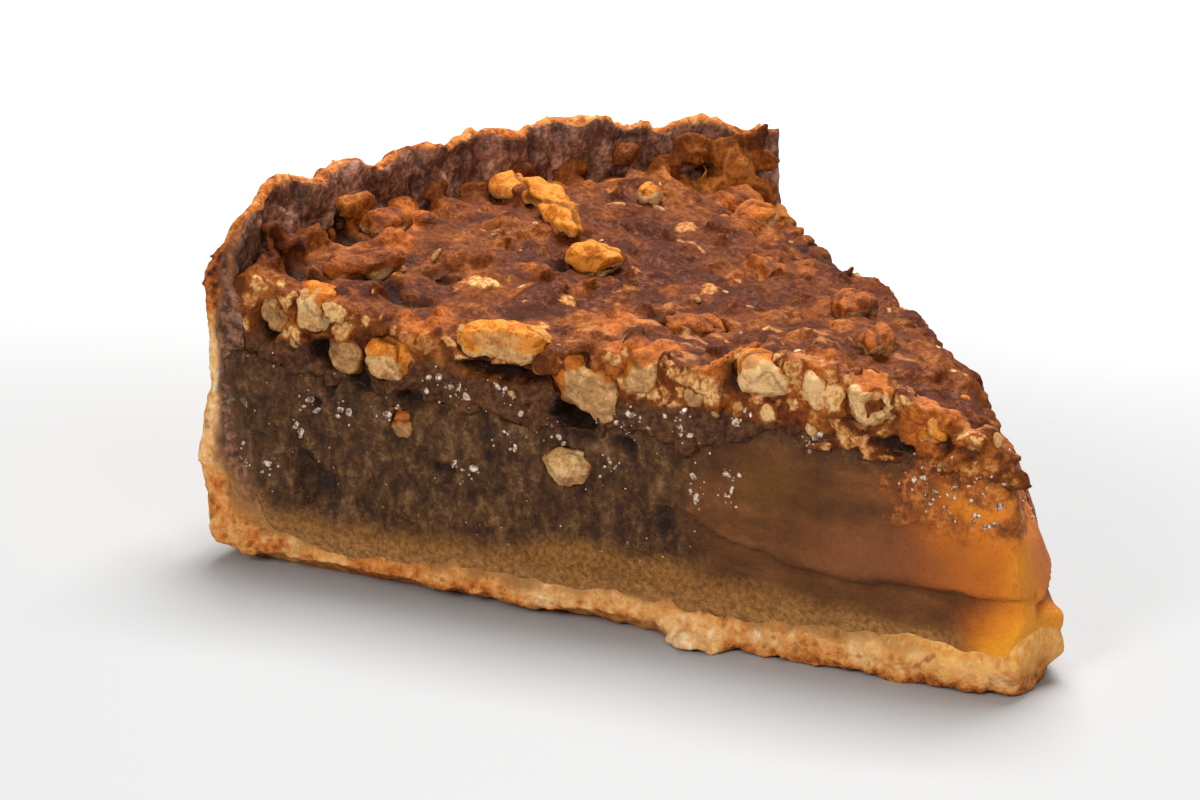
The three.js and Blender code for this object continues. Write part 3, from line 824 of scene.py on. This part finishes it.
def drop_scraps(mesh, least):
    """Takes out loose scraps and sealed bubbles of fewer than least points."""
    ends = np.empty(2 * len(mesh.edges), np.int32)
    mesh.edges.foreach_get("vertices", ends)
    ends = ends.reshape(-1, 2)
    body = np.arange(len(mesh.vertices))
    settled = False
    while not settled:
        lowest = body[ends].min(axis=1)
        joined = body.copy()
        np.minimum.at(joined, ends[:, 0], lowest)
        np.minimum.at(joined, ends[:, 1], lowest)
        joined = joined[joined]
        settled = np.array_equal(joined, body)
        body = joined
    members = np.bincount(body, minlength=len(body))[body]
    made = bmesh.new()
    made.from_mesh(mesh)
    made.verts.ensure_lookup_table()
    scraps = [made.verts[index] for index in np.flatnonzero(members < least)]
    bmesh.ops.delete(made, geom=scraps, context="VERTS")
    made.to_mesh(mesh)
    made.free()


def near_any(points, spots, ragged, low, high):
    """1 close to any of the spots and 0 away from them, with a ragged edge."""
    share = np.zeros(len(points))
    for spot in spots:
        share = np.maximum(share, step(np.linalg.norm(points - spot, axis=1) + ragged, low, high))
    return share


# The pieces and the sheet become one skin. A smaller copy of each larger nut closes it behind
# the nut itself; those set in the filling, below the sheet, need none.
chopped = [piece for piece in chopped if slumped_glaze(piece.centre[None, :])[0] < 0.3]
round_ball = ball(3)
plugs = []
for node in IN_CUT + ON_TOP:
    nut, nut_faces = node_form(node)
    middle, _ = extent(nut)
    if middle[2] > 24:
        plugs.append((middle + (nut - middle) * 0.72, nut_faces))
pressed = [piece.form(round_ball) for piece in chopped]
layer = fine_skin([layer_form] + pressed + plugs, grain=0.485, relax=1)
drop_scraps(layer, 60)

# What stands out of the solid's skin or past the cuts too far is drawn in.
points = spots_of(layer)
for index in np.flatnonzero(polar(points)[0] < 104):
    home, way, _, gap = solid.find_nearest(Vector(points[index]))
    out = Vector(points[index]) - home
    if gap > STANDS_OUT and out.dot(way) > 0:
        points[index] = home + out * ((STANDS_OUT + (gap - STANDS_OUT) * 0.3) / gap)
for cut, normal in CUT_NORMALS.items():
    past = np.maximum(0, -under_cut(points, cut) - 0.9 - 0.5 * ripple(points, 4, 42 + cut))
    points -= (0.6 * past)[:, None] * normal
shape(layer, points)
facing = facing_of(layer)
radius, side, height = polar(points)
sliced = cut_share(points, facing, (0.5, 0.85), (1.6, 0.5))

# Each point takes its tone, bareness and wrinkles from the chopped piece it belongs to.
best = np.full(len(points), 9.0)
tone = np.full(len(points), 0.3)
bare = np.zeros(len(points))
wrinkle = np.zeros(len(points))
opened = np.zeros(len(points))
for piece in chopped:
    close = np.flatnonzero(np.abs(points - piece.centre).max(axis=1) < 1.5 * piece.half[0])
    own, out = piece.measure(points[close])
    nearer = out < best[close]
    close, own, out = close[nearer], own[nearer], out[nearer]
    best[close] = out
    tone[close] = piece.tone
    bare[close] = step(own @ piece.bare_way, 0.35, 0.6) * (piece.tone * 7 % 1 < 0.15)
    flat = (points[close] - piece.centre) @ face_axes(CUT_NORMALS[-1])
    is_opened = piece.tone * 13 % 1 < (0.75 if radius[close].mean() > 64 else 0.92)
    opened[close] = is_opened * step(np.linalg.norm(flat, axis=1) / piece.half[1], 1.15, 0.4)
    wrinkle[close] = ripple(own * piece.half, 0.9, piece.seed, (3.5, 1, 1))
right = 0.3 * step(radius, 66, 52) * (side < 0) * sliced
crevice = step(best, 1.06 + right, 1.45 + right)
orange = near_any(points, ORANGE_PATCHES, 1.5 * ripple(points, 3, 52), 4.5, 2.5)
gap = near_any(points, GAPS_PAINTED_IN_SHADE, 1.3 * ripple(points, 2, 51), 2.5, 0.9)
hollow = hollows(points) * step(cut_depth(points), 5, 3)
base = np.interp(radius, *SHEET_UNDERSIDE) + 0.8 * ripple(points, 5, 55)
low = step(height - base, 4.5, 0) * (facing[:, 2] < 0.7)
sunk = step(cut_depth(points), 4, 1.5) * step(height - base, 2.4, 0.8) * step(radius, 30, 44)
bare *= step(radius, 104, 100)
# Darker in the corner where the wall meets the near cut: dark boiled syrup there, and painted shade.
tone *= 1 - 0.6 * step(radius, 103, 108) * step(side, -0.78, -0.88)
# Lighter at the foot of the wall: painted light that lifts the wall's shadow.
tone += 0.36 * step(radius, 101, 105) * step(height, 38, 35.5)
# Up-facing places a little darker: painted shade.
tone -= 0.06 * step(facing[:, 2], 0.4, 0.8)
pale_line = step(np.abs(side - 0.8 + 0.1 * ripple(points, 5, 50)), 0.1, 0.05)
tone = np.maximum(tone, 0.8 * step(radius, 100, 104) * pale_line)
opened *= 1 - 0.6 * step(radius, 30, 24) * step(height, 31.5, 29)
opened *= 1 - 0.85 * orange * step(radius, 34, 28)
flesh = np.maximum(bare * 0.8, sliced * opened) * (1 - crevice) * step(hollow, 0.4, 0) * (1 - gap)
flesh *= 1 - 0.9 * sunk
skin = (1 - crevice) * (1 - flesh)
relief = 0.18 * wrinkle * skin + 0.15 * ripple(points, 0.9, 45) * flesh + 0.25 * ripple(points, 2.1, 46)
crumb, crumb_tone = crumbs(points, 1.7, 49)
relief += crevice * (0.3 * ripple(points, 1.4, 48) + sliced * (0.9 * (0.5 - crumb)))
relief -= 0.35 * step(np.abs(ripple(points, 4.2, 47)), 0.1, 0.0)
relief -= 0.25 * crevice + 1.1 * gap
run_down = slumped_glaze(points)
relief *= 1 - 0.8 * run_down
orange = np.maximum(orange, 0.8 * run_down)
relief[facing[:, 2] < -0.6] = 0.3
points = points + facing * relief[:, None]
tear_out(points, side, hollow)
shoulder = step(radius, 31, 22) * step(side, -0.5, 0.2) * step(height, 24, 28)
points -= 1.8 * shoulder[:, None] * np.array((0.29, 0.667, 0.67))
shape(layer, points)

# Pale streaks run along the top, most of them over its near half: painted sheen on the glaze.
along = (math.cos(HALF_ANGLE), math.sin(HALF_ANGLE), 0)
brushed = points @ np.stack([along, CUT_NORMALS[-1], (0, 0, 1)]).T
wisp = step(ripple(brushed, 1.3, 53, (4.5, 1.4, 1)) + 0.35 * ripple(points, 0.9, 54), 0.05, 0.65)
wisp *= step(facing[:, 2], -0.1, 0.4)
wisp *= (0.25 + 0.75 * step(side, 0.5, -0.2) * step(radius, 82, 62)) * (1 - sliced) * (1 - 0.6 * crevice)
on_top = step(facing[:, 2], 0.1, 0.5)
# Painted shade: the crevices between the pieces, the crumbs' edges in the cut, the sheet's sunk underside
# in the cut and the foot of the wall on top are darkened.
shade = crevice * (0.45 + 0.4 * sliced * step(crumb, 0.35, 0.75)) + 0.1 * step(radius, 104, 111) * on_top
shade = np.maximum(shade, sunk)
tone = np.where((crevice > 0.5) & (sliced > 0.5), 0.25 + 0.75 * crumb_tone, tone)
# Lighter again near the wall, outside the cuts: painted light that lifts the wall's shadow.
tone += 0.22 * step(radius, 105, 108) * (1 - sliced)
# Up-facing places between tip and wall a little darker: painted shade.
tone -= 0.06 * step(radius, 35, 50) * step(radius, 104, 96) * on_top
pale = tone + 0.25 * (side < 0) * step(radius, 70, 55) * step(radius, 12, 20)
mark(layer, tone=tone, pale=pale, flesh=flesh, orange=orange, gap=gap, crevice=np.clip(shade, 0, 1),
     low=low, sliced=sliced, hollow=np.clip(hollow, 0, 1), wisp=wisp)

glazed = Finish("glazed_chopped_pecans")
fine = glazed.noise(0.7, 4)
blotch = glazed.noise(3.2, 3)
clouds = glazed.noise(14, 2)
shade = glazed.mark("tone") * 0.55 + blotch.spread() * 0.25 + fine.spread() * 0.3 - 0.08
shade = shade + (clouds - 0.5) * 0.4
shade = shade + glazed.mark("sliced") * 0.16
skin = glazed.tones(
    shade,
    (0.12, colour(74, 32, 12)), (0.36, colour(101, 47, 15)), (0.54, colour(118, 59, 18)),
    (0.7, colour(137, 72, 21)), (0.85, colour(158, 87, 29)), (1.0, colour(182, 110, 46)))
meat = glazed.tones(
    glazed.mark("pale") * 0.5 + fine.spread() * 0.4 + 0.05,
    (0.15, colour(140, 76, 30)), (0.4, colour(174, 104, 48)), (0.62, colour(204, 144, 82)),
    (0.82, colour(230, 184, 120)))
flesh = (glazed.mark("flesh") + (fine - 0.5) * 0.8 + (blotch - 0.5) * 0.5).step(0.2, 0.75)
tint = glazed.over(skin, glazed.mark("orange") * 0.75, glazed.tones(
    fine, (0.4, colour(158, 76, 22)), (0.6, colour(204, 114, 44))))
# Painted sheen: pale streaks over the glaze.
wisp = (glazed.mark("wisp") + (fine - 0.5) * 0.5).step(0.2, 0.95)
tint = glazed.over(tint, wisp * 0.6, colour(200, 132, 78))
tint = glazed.over(tint, flesh, meat)
# Painted shade: the crevice mark darkens the glaze between the pieces.
dark = (glazed.mark("crevice") + (fine - 0.5) * 0.3).step(0.25, 0.85)
between = glazed.over(colour(50, 21, 9), glazed.mark("sliced"), colour(104, 56, 24))
between = glazed.over(between, glazed.mark("low"), glazed.tones(
    fine, (0.35, colour(52, 31, 19)), (0.65, colour(98, 67, 46))))
tint = glazed.over(tint, dark * 0.85, between)
# Painted shade: the torn-out hollows in the cuts are near black.
tint = glazed.over(tint, glazed.mark("hollow") * 0.95, colour(26, 12, 7))
# Painted shade: the deep gaps between the nuts are near black.
tint = glazed.over(tint, glazed.mark("gap") * 0.9, colour(34, 15, 9))
glazed.wear(
    base_color=tint,
    roughness=0.7 - fine.step(0.45, 0.6) * (blotch.step(0.4, 0.55) * 0.35 + glazed.mark("low") * 0.2),
    specular_ior_level=0.12,
    normal=glazed.bump(fine * 0.6 + blotch * 0.4, 0.7))
lay(layer, "glazed_pecan_sheet", glazed, "pecan_layer", "pecan_layer")

# ---- Larger pieces of pecan ----
# Halves and quarters broken by hand: wrinkled skin on the curved side, pale flesh on the
# broken one. Those in the cut faces are bare, those on top carry the glaze.

# In the cut: how pale the flesh is, how orange the skin is, where the skin starts (-1..1 across
# the piece) along its heading, and that heading: degrees, 0 towards the tip and 90 up.
LOOKS = {
    1: (0.45, 0.3, 0.5, 90), 2: (0.9, 0.8, 0.35, 50), 3: (0.45, 0.2, 0.5, 100), 4: (0.75, 0.85, 0.15, 70),
    5: (0.7, 0.95, -0.35, 95), 6: (0.65, 0.7, 0.4, 150), 7: (0.8, 0.3, 0.85, 90), 8: (0.6, 0.6, 0.1, 120),
    9: (0.6, 0.3, 0.6, 90), 10: (1.0, 0.8, 0.4, 130), 11: (1.0, 0.5, 0.75, 90), 12: (0.9, 0.6, 0.55, 70),
    13: (0.9, 1.0, -0.75, 60), 14: (0.35, 0.5, 0.2, 90)}
# On top: the same first two, and how far up a place has to face to carry skin.
TOP_LOOKS = {
    1: (0.3, 0.35, -2), 2: (0.8, 0.6, -0.1), 3: (0.4, 0.3, -0.5), 4: (0.4, 0.25, -0.5), 5: (0.8, 1.0, -0.8),
    6: (0.9, 0.8, 0.3), 7: (0.5, 0.35, -0.4), 8: (0.5, 0.4, -0.4), 9: (0.5, 0.35, -0.4),
    10: (0.6, 0.4, -0.4)}

bare_pecan = Finish("broken_pecan")
fine = bare_pecan.noise(0.5, 4)
blotch = bare_pecan.noise(1.8, 4, 0.7)
pale = bare_pecan.mark("pale") + (blotch.spread() - 0.5) * 0.4 + (fine.spread() - 0.5) * 0.25
meat = bare_pecan.tones(
    pale, (0.1, colour(130, 92, 58)), (0.45, colour(171, 124, 76)), (0.75, colour(203, 151, 93)),
    (1.0, colour(230, 186, 128)))
golden = bare_pecan.mark("golden") + (blotch.spread() - 0.5) * 0.4 + (fine - 0.5) * 0.5
rind = bare_pecan.tones(
    golden, (0.1, colour(118, 58, 26)), (0.5, colour(172, 92, 32)), (0.85, colour(206, 116, 32)),
    (1.0, colour(228, 144, 54)))
skin = (bare_pecan.mark("skin") + (fine - 0.5) * 0.5).step(0.3, 0.7)
tint = bare_pecan.over(meat, skin, rind)
tint = bare_pecan.over(tint, bare_pecan.mark("seam") * 0.7, colour(84, 44, 22))
bare_pecan.wear(
    base_color=tint,
    roughness=0.6 - skin * 0.15,
    specular_ior_level=0.12,
    subsurface_weight=0.1,
    subsurface_radius=(0.0016, 0.001, 0.0006),
    subsurface_scale=1.0,
    normal=bare_pecan.bump(fine * 0.6 + blotch * 0.4, 0.7))

# The bent sliver is thin between its lump, its bend and its end: two long pieces bridge them.
sliver_points = node_form("pecan_bent_sliver")[0]
sliver_out = polar(sliver_points)[0]
ends = [sliver_points[(low < sliver_out) & (sliver_out < high)].mean(axis=0)
        for low, high in ((106, 112), (100, 105), (90, 98))]
BRIDGES = [((ends[0] + ends[1]) / 2, (4.2, 1.7, 1.5), ends[1] - ends[0]),
           ((ends[1] + ends[2]) / 2, (6.5, 2.1, 1.6), ends[2] - ends[1])]


def pecan(node, pale, golden, start, heading=None):
    """A fine-skinned pecan in a node's form, with its wrinkles along its length. One that stands
    in a cut face has a heading for its skin, one on top has none."""
    on_top = heading is None
    is_sliver = node == "pecan_bent_sliver"
    forms = [node_form(node)]
    for spot, half, way in BRIDGES if is_sliver else ():
        turn = frame_of(np.array(way), np.array((0.2, 0, 1.0)))
        forms.append(Piece(np.random.default_rng(5), spot, half, turn).form(round_ball))
    mesh = fine_skin(forms, grain=0.3, relax=2)
    points = spots_of(mesh)
    middle, _ = extent(points)
    axes = np.linalg.svd(points - points.mean(axis=0), full_matrices=False)[2]
    own = (points - middle) @ axes.T
    half = np.abs(own).max(axis=0)
    seed = 60 + len(node) + int(middle[0] * 7) % 50
    chop_roll = np.random.default_rng(seed)
    chopped_off = np.zeros(len(points))
    flats = chop_roll.normal(size=(6 if on_top else 4, 3))
    if is_sliver:
        flats = flats[:0]
    if not on_top:
        cut = cut_of(node)
        along_and_up = face_axes(cut) * (1 if "near" in node else -1, 1)
        place = np.abs((points - middle) @ along_and_up)
        place /= place.max(axis=0)
        square = np.hypot(*place.T) / ((place ** 4).sum(axis=1) + 1e-9) ** 0.25
        flat = points - middle - ((points - middle) @ cut)[:, None] * cut
        points += (0.85 * (square - 1) * step(np.hypot(*place.T), 0.2, 0.6))[:, None] * flat
        flats[0] = cut
    for way in flats:
        way /= np.linalg.norm(way)
        reach = chop_roll.uniform(0.76, 0.9) * ((points - middle) @ way).max()
        past = np.maximum(0, (points - middle) @ way - reach)
        points -= 0.94 * past[:, None] * way
        chopped_off = np.maximum(chopped_off, step(past, 0.02, 0.25))
    shape(mesh, points)
    facing = facing_of(mesh)
    if on_top:
        skin = step(facing[:, 2] + 0.5 * ripple(points, 3, seed), start - 0.2, start + 0.3)
    else:
        place = (points - middle) @ along_and_up
        place /= np.abs(place).max(axis=0)
        way = np.array([math.cos(math.radians(heading)), math.sin(math.radians(heading))])
        skin = step(place @ way + 0.35 * ripple(points, 2.2, seed), start - 0.12, start + 0.18)
        turn = np.arctan2(place[:, 1], place[:, 0])
        reach = np.hypot(place[:, 0], place[:, 1])
        slots = np.arange(-math.pi, math.pi, math.pi / 12)
        widest = [reach[np.abs(turn - slot) < 0.2].max(initial=0.01) for slot in slots]
        border = reach / np.interp(turn, slots, widest, period=2 * math.pi)
        border += 0.2 * ripple(points, 1.8, seed)
        skin = np.maximum(skin, 0.85 * step(border, 0.74, 0.96))
    wrinkles = ripple(own, 1.0, seed, (3.2, 1, 1))
    if node.endswith("near_face_12"):
        off_middle = np.hypot(place[:, 0] - 0.1, place[:, 1] - 0.1)
        dimple = step(off_middle + 0.45 * ripple(points, 1.7, seed), 0.6, 0.2)
        points -= 1.1 * dimple[:, None] * cut
        skin = np.maximum(skin, step(dimple, 0.1, 0.5))
    seam = step(np.abs(own[:, 1] / half[1] + 0.3 * ripple(points, 4, seed + 1)), 0.16, 0.02) * skin
    skin = np.maximum(0, skin - 0.5 * chopped_off * (0.5 if on_top else 1))
    torn = np.abs(ripple(own, 1.6, seed + 2, (1.8, 1, 1)))
    seam = np.maximum(seam, 0.75 * (1 - skin) * step(np.abs(ripple(own, 3, seed + 6, (2, 1, 1))), 0.09, 0))
    relief = skin * (0.22 * wrinkles - 0.3 * seam)
    relief += (1 - skin) * (0.16 * ripple(points, 0.9, seed + 4) + 0.5 * torn)
    relief += 0.5 * ripple(points, 3.2, seed + 3) + 0.3 * ripple(points, 1.6, seed + 5)
    shape(mesh, points + facing * relief[:, None])
    mark(mesh, pale=np.full(len(points), pale), golden=np.full(len(points), golden), skin=skin, seam=seam)
    slot = "pecan_glazed" if on_top else "pecan_cut"
    lay(mesh, node.replace("pecan", "broken_pecan"), bare_pecan, slot, node)


for number, look in LOOKS.items():
    pecan(f"pecan_in_near_face_{number}", *look)
for number in range(1, 7):
    pecan(f"pecan_in_far_face_{number}", *LOOKS[2 * number])
for number, look in TOP_LOOKS.items():
    pecan(f"pecan_on_top_{number}", *look)
pecan("pecan_bent_sliver", 0.7, 0.95, -0.7)

# ---- Chips and crumbs of nut ----
# Small pale chips of bare nut that broke off the larger pieces when they were chopped and cut.
# They are stuck in the glaze on top and in the cut faces of the sheet.

# The larger chips: radius, side and size. Then the least height of the others in the cuts.
CHIPS = [(96, -0.53, 1.0), (93.7, -0.41, 0.7), (95.1, -0.27, 0.9), (96.7, 0.42, 1.1),
         (110.6, -0.9, 0.9), (13.6, -0.86, 1.3)]
LOWEST_CHIPS = [[12, 30, 55, 110], [25.5, 27.5, 26.5, 27.5]]


def loose(found, sizes, fineness, flat):
    """Small lumps, each pressed and turned in its own way, as one mesh. What was found is a spot
    and its facing, or nothing, and then there is no lump."""
    round_ball = ball(fineness)
    forms = []
    for hit, size in zip(found, sizes):
        if hit:
            half = size * chance.uniform((0.8, 0.55, 0.35), (1.2, 0.8, 0.5)) if flat else size * np.ones(3)
            turn = frame_of(chance.normal(size=3), hit[1])
            forms.append(Piece(chance, hit[0], half, turn, 7 if flat else 2).form(round_ball))
    return one_mesh(forms)


def from_above(tree, radius, side):
    """The first point met from above, and its facing."""
    spot, way, _, _ = tree.ray_cast(Vector(place_at(radius, side, 80)), Vector((0, 0, -1)))
    return (np.array(spot), np.array(way)) if spot else None


def from_front(trees, radius, height, side=-1):
    """The first point met on any of the trees from in front of a cut face, and its facing."""
    cut = CUT_NORMALS[side]
    start = place_at(radius, side, height) + 15 * cut
    met = [tree.ray_cast(Vector(start), Vector(-cut)) for tree in trees]
    met = [hit for hit in met if hit[0]]
    if not met:
        return None
    spot, way, _, _ = min(met, key=lambda hit: hit[3])
    return np.array(spot), np.array(way)


def tree_of(mesh):
    """A finished mesh, in millimetres again, for finding what lies in front of it."""
    return BVHTree.FromPolygons([1000 * vertex.co for vertex in mesh.vertices],
                                [tuple(face.vertices) for face in mesh.polygons])


sheet_tree = tree_of(layer)
fill_tree = tree_of(filling)

# The larger chips, then crumbs anywhere on top, then crumbs in both cuts.
found = [from_above(sheet_tree, radius, side) for radius, side, _ in CHIPS]
sizes = [size for _, _, size in CHIPS]
for number in range(30):
    radius = math.sqrt(chance.uniform(22 ** 2, 106 ** 2))
    found.append(from_above(sheet_tree, radius, chance.uniform(-0.93, 0.9)))
    sizes.append(chance.uniform(0.35, 0.7))
for number in range(20):
    radius = chance.uniform(16, 108)
    height = np.interp(radius, *LOWEST_CHIPS) + chance.uniform(-0.5, 5)
    found.append(from_front([sheet_tree], radius, height, -1 if number % 3 else 1))
    sizes.append(chance.uniform(0.5, 1.1))
chips = loose(found, sizes, 2, True)
points_each = len(ball(2)[0])
count = len(chips.vertices)
chip_count = count // points_each
mark(chips, pale=chance.uniform(0.3, 0.9, chip_count).repeat(points_each), golden=np.full(count, 0.7),
     skin=(chance.uniform(0, 1, chip_count) < 0.3).repeat(points_each), seam=np.zeros(count))
lay(chips, "pale_nut_chips", bare_pecan, "pecan_cut")

# ---- Beads of syrup ----
# Wet beads, tiny bubbles and flat smears of the filling's own syrup. They ooze from the cut
# faces where the knife has just gone through, and catch the light; their pale colour is a painted glint.

# Radius and height in the near cut of each wet spot.
BEADED = [(111.5, 13.3), (106.6, 12.8), (101.9, 21.3), (102.6, 17.8), (96.9, 21.2), (90.8, 21.7),
          (81.4, 25.8), (80.4, 25.6), (79.5, 16.4), (75.5, 27.2), (73.5, 24.5), (74.2, 20.4),
          (59.5, 24.7), (58, 25.1), (60.5, 19.5), (84.5, 26.2), (68.5, 22.6), (62.4, 26), (53.4, 26.6),
          (51.6, 24.6), (49.6, 18.6), (45.9, 21.3), (45.5, 18.4), (44, 27.6), (35.9, 26.2)]

# Beads crowd at the wet spots, lie thinly over both cuts, and gather at the tip.
cut_trees = [fill_tree, sheet_tree]
found, sizes = [], []
for where_r, where_z in BEADED:
    for number in range(5):
        off_r, off_z = chance.normal() * 1.1, chance.normal() * 0.8
        found.append(from_front(cut_trees, where_r + off_r, where_z + off_z))
        sizes.append(chance.uniform(0.08, 0.2))
for number in range(120):
    side = -1 if number % 3 else 1
    where_r = chance.uniform(44, 111)
    found.append(from_front(cut_trees, where_r, chance.uniform(8, 27), side))
    sizes.append(chance.uniform(0.07, 0.16))
for number in range(60):
    side = -1 if number % 3 else 1
    found.append(from_front(cut_trees, chance.normal() * 4.5 + 17, chance.normal() * 2.2 + 23, side))
    sizes.append(chance.uniform(0.1, 0.26))
beads = loose(found, sizes, 2, False)
syrup = Finish("wet_syrup")
painted_glint_noise = syrup.noise(0.5, 2)
# Painted glint: the beads and smears are partly pale in their base colour, besides their real gloss.
syrup.wear(
    base_color=syrup.tones(painted_glint_noise, (0.4, colour(110, 64, 30)), (0.62, colour(222, 200, 176))),
    roughness=0.08,
    coat_weight=1.0,
    coat_roughness=0.03,
    normal=syrup.bump(painted_glint_noise, 0.1))
lay(beads, "syrup_beads_with_painted_glints", syrup, "filling")

# Flatter smears of the same syrup, pale as painted glint, lie round the beads and at the tip.
found, sizes = [], []
for where_r, where_z in BEADED:
    for number in range(3):
        off_r, off_z = chance.normal() * 0.9, chance.normal() * 0.7
        found.append(from_front(cut_trees, where_r + off_r, where_z + off_z))
        sizes.append(chance.uniform(0.25, 0.75))
for number in range(16):
    found.append(from_front(cut_trees, chance.normal() * 4 + 18, chance.normal() * 2 + 22.5))
    sizes.append(chance.uniform(0.25, 0.6))
smears = loose(found, sizes, 3, True)
lay(smears, "syrup_smears_of_painted_glint", syrup, "filling")

# ---- Camera, table and light ----
# A long lens looks down a little on the knife-cut face. The slice stands on a pale table in a
# white room, under a large soft lamp behind and above it, with a weaker one in front of the cut
# and a small one beside the tip.

look_at = Vector((-0.007629, -0.013220, 0.022168))
stand = Vector((0.473059, -0.409396, 0.207865))
tilt = Quaternion((0, 0, 1), math.radians(0.4))
lens = bpy.data.cameras.new("camera")
lens.sensor_width = 36
lens.lens = 166.5
lens.clip_start = 0.01
lens.clip_end = 20
camera = bpy.data.objects.new("camera", lens)
camera.location = stand
camera.rotation_euler = ((look_at - stand).to_track_quat("-Z", "Y") @ tilt).to_euler()
bpy.context.collection.objects.link(camera)
bpy.context.scene.camera = camera
bpy.context.scene.view_settings.view_transform = "Standard"

table = bpy.data.meshes.new("table")
table.from_pydata([(-6, -6, 0), (6, -6, 0), (6, 6, 0), (-6, 6, 0)], [], [(0, 1, 2, 3)])
board = bpy.data.objects.new("table", table)
bpy.context.collection.objects.link(board)
white = Finish("pale_table_painted_shade")
# Painted shade: the table's colour darkens towards the front of the slice.
away = (-0.75, 0.66, 0)
farther = white.node("ShaderNodeVectorMath", {"operation": "DOT_PRODUCT"}, {0: white.spot, 1: away}, 1)
white.wear(
    base_color=white.tones(
        farther.step(0.03, 0.32), (0.0, (0.44, 0.44, 0.44, 1)), (1.0, (0.9, 0.9, 0.9, 1))),
    roughness=0.7)
table.materials.append(white.material)


def lamp(name, spot, size, power):
    """A soft square lamp of white light that points at the slice."""
    light = bpy.data.lights.new(name, "AREA")
    light.size = size
    light.energy = power
    holder = bpy.data.objects.new(name, light)
    holder.location = spot
    holder.rotation_euler = (Vector((0, 0, 0.02)) - Vector(spot)).to_track_quat("-Z", "Y").to_euler()
    bpy.context.collection.objects.link(holder)


lamp("lamp_above", (-0.16, 0.2, 0.68), 0.5, 9.5)
lamp("lamp_front", (0.25, -0.75, 0.42), 0.25, 3.4)
lamp("lamp_tip", (0.27, -0.13, 0.2), 0.12, 0.26)
room = bpy.data.worlds.new("room")
room.use_nodes = True
room.node_tree.nodes["Background"].inputs["Color"].default_value = (1, 1, 1, 1)
room.node_tree.nodes["Background"].inputs["Strength"].default_value = 0.18
bpy.context.scene.world = room
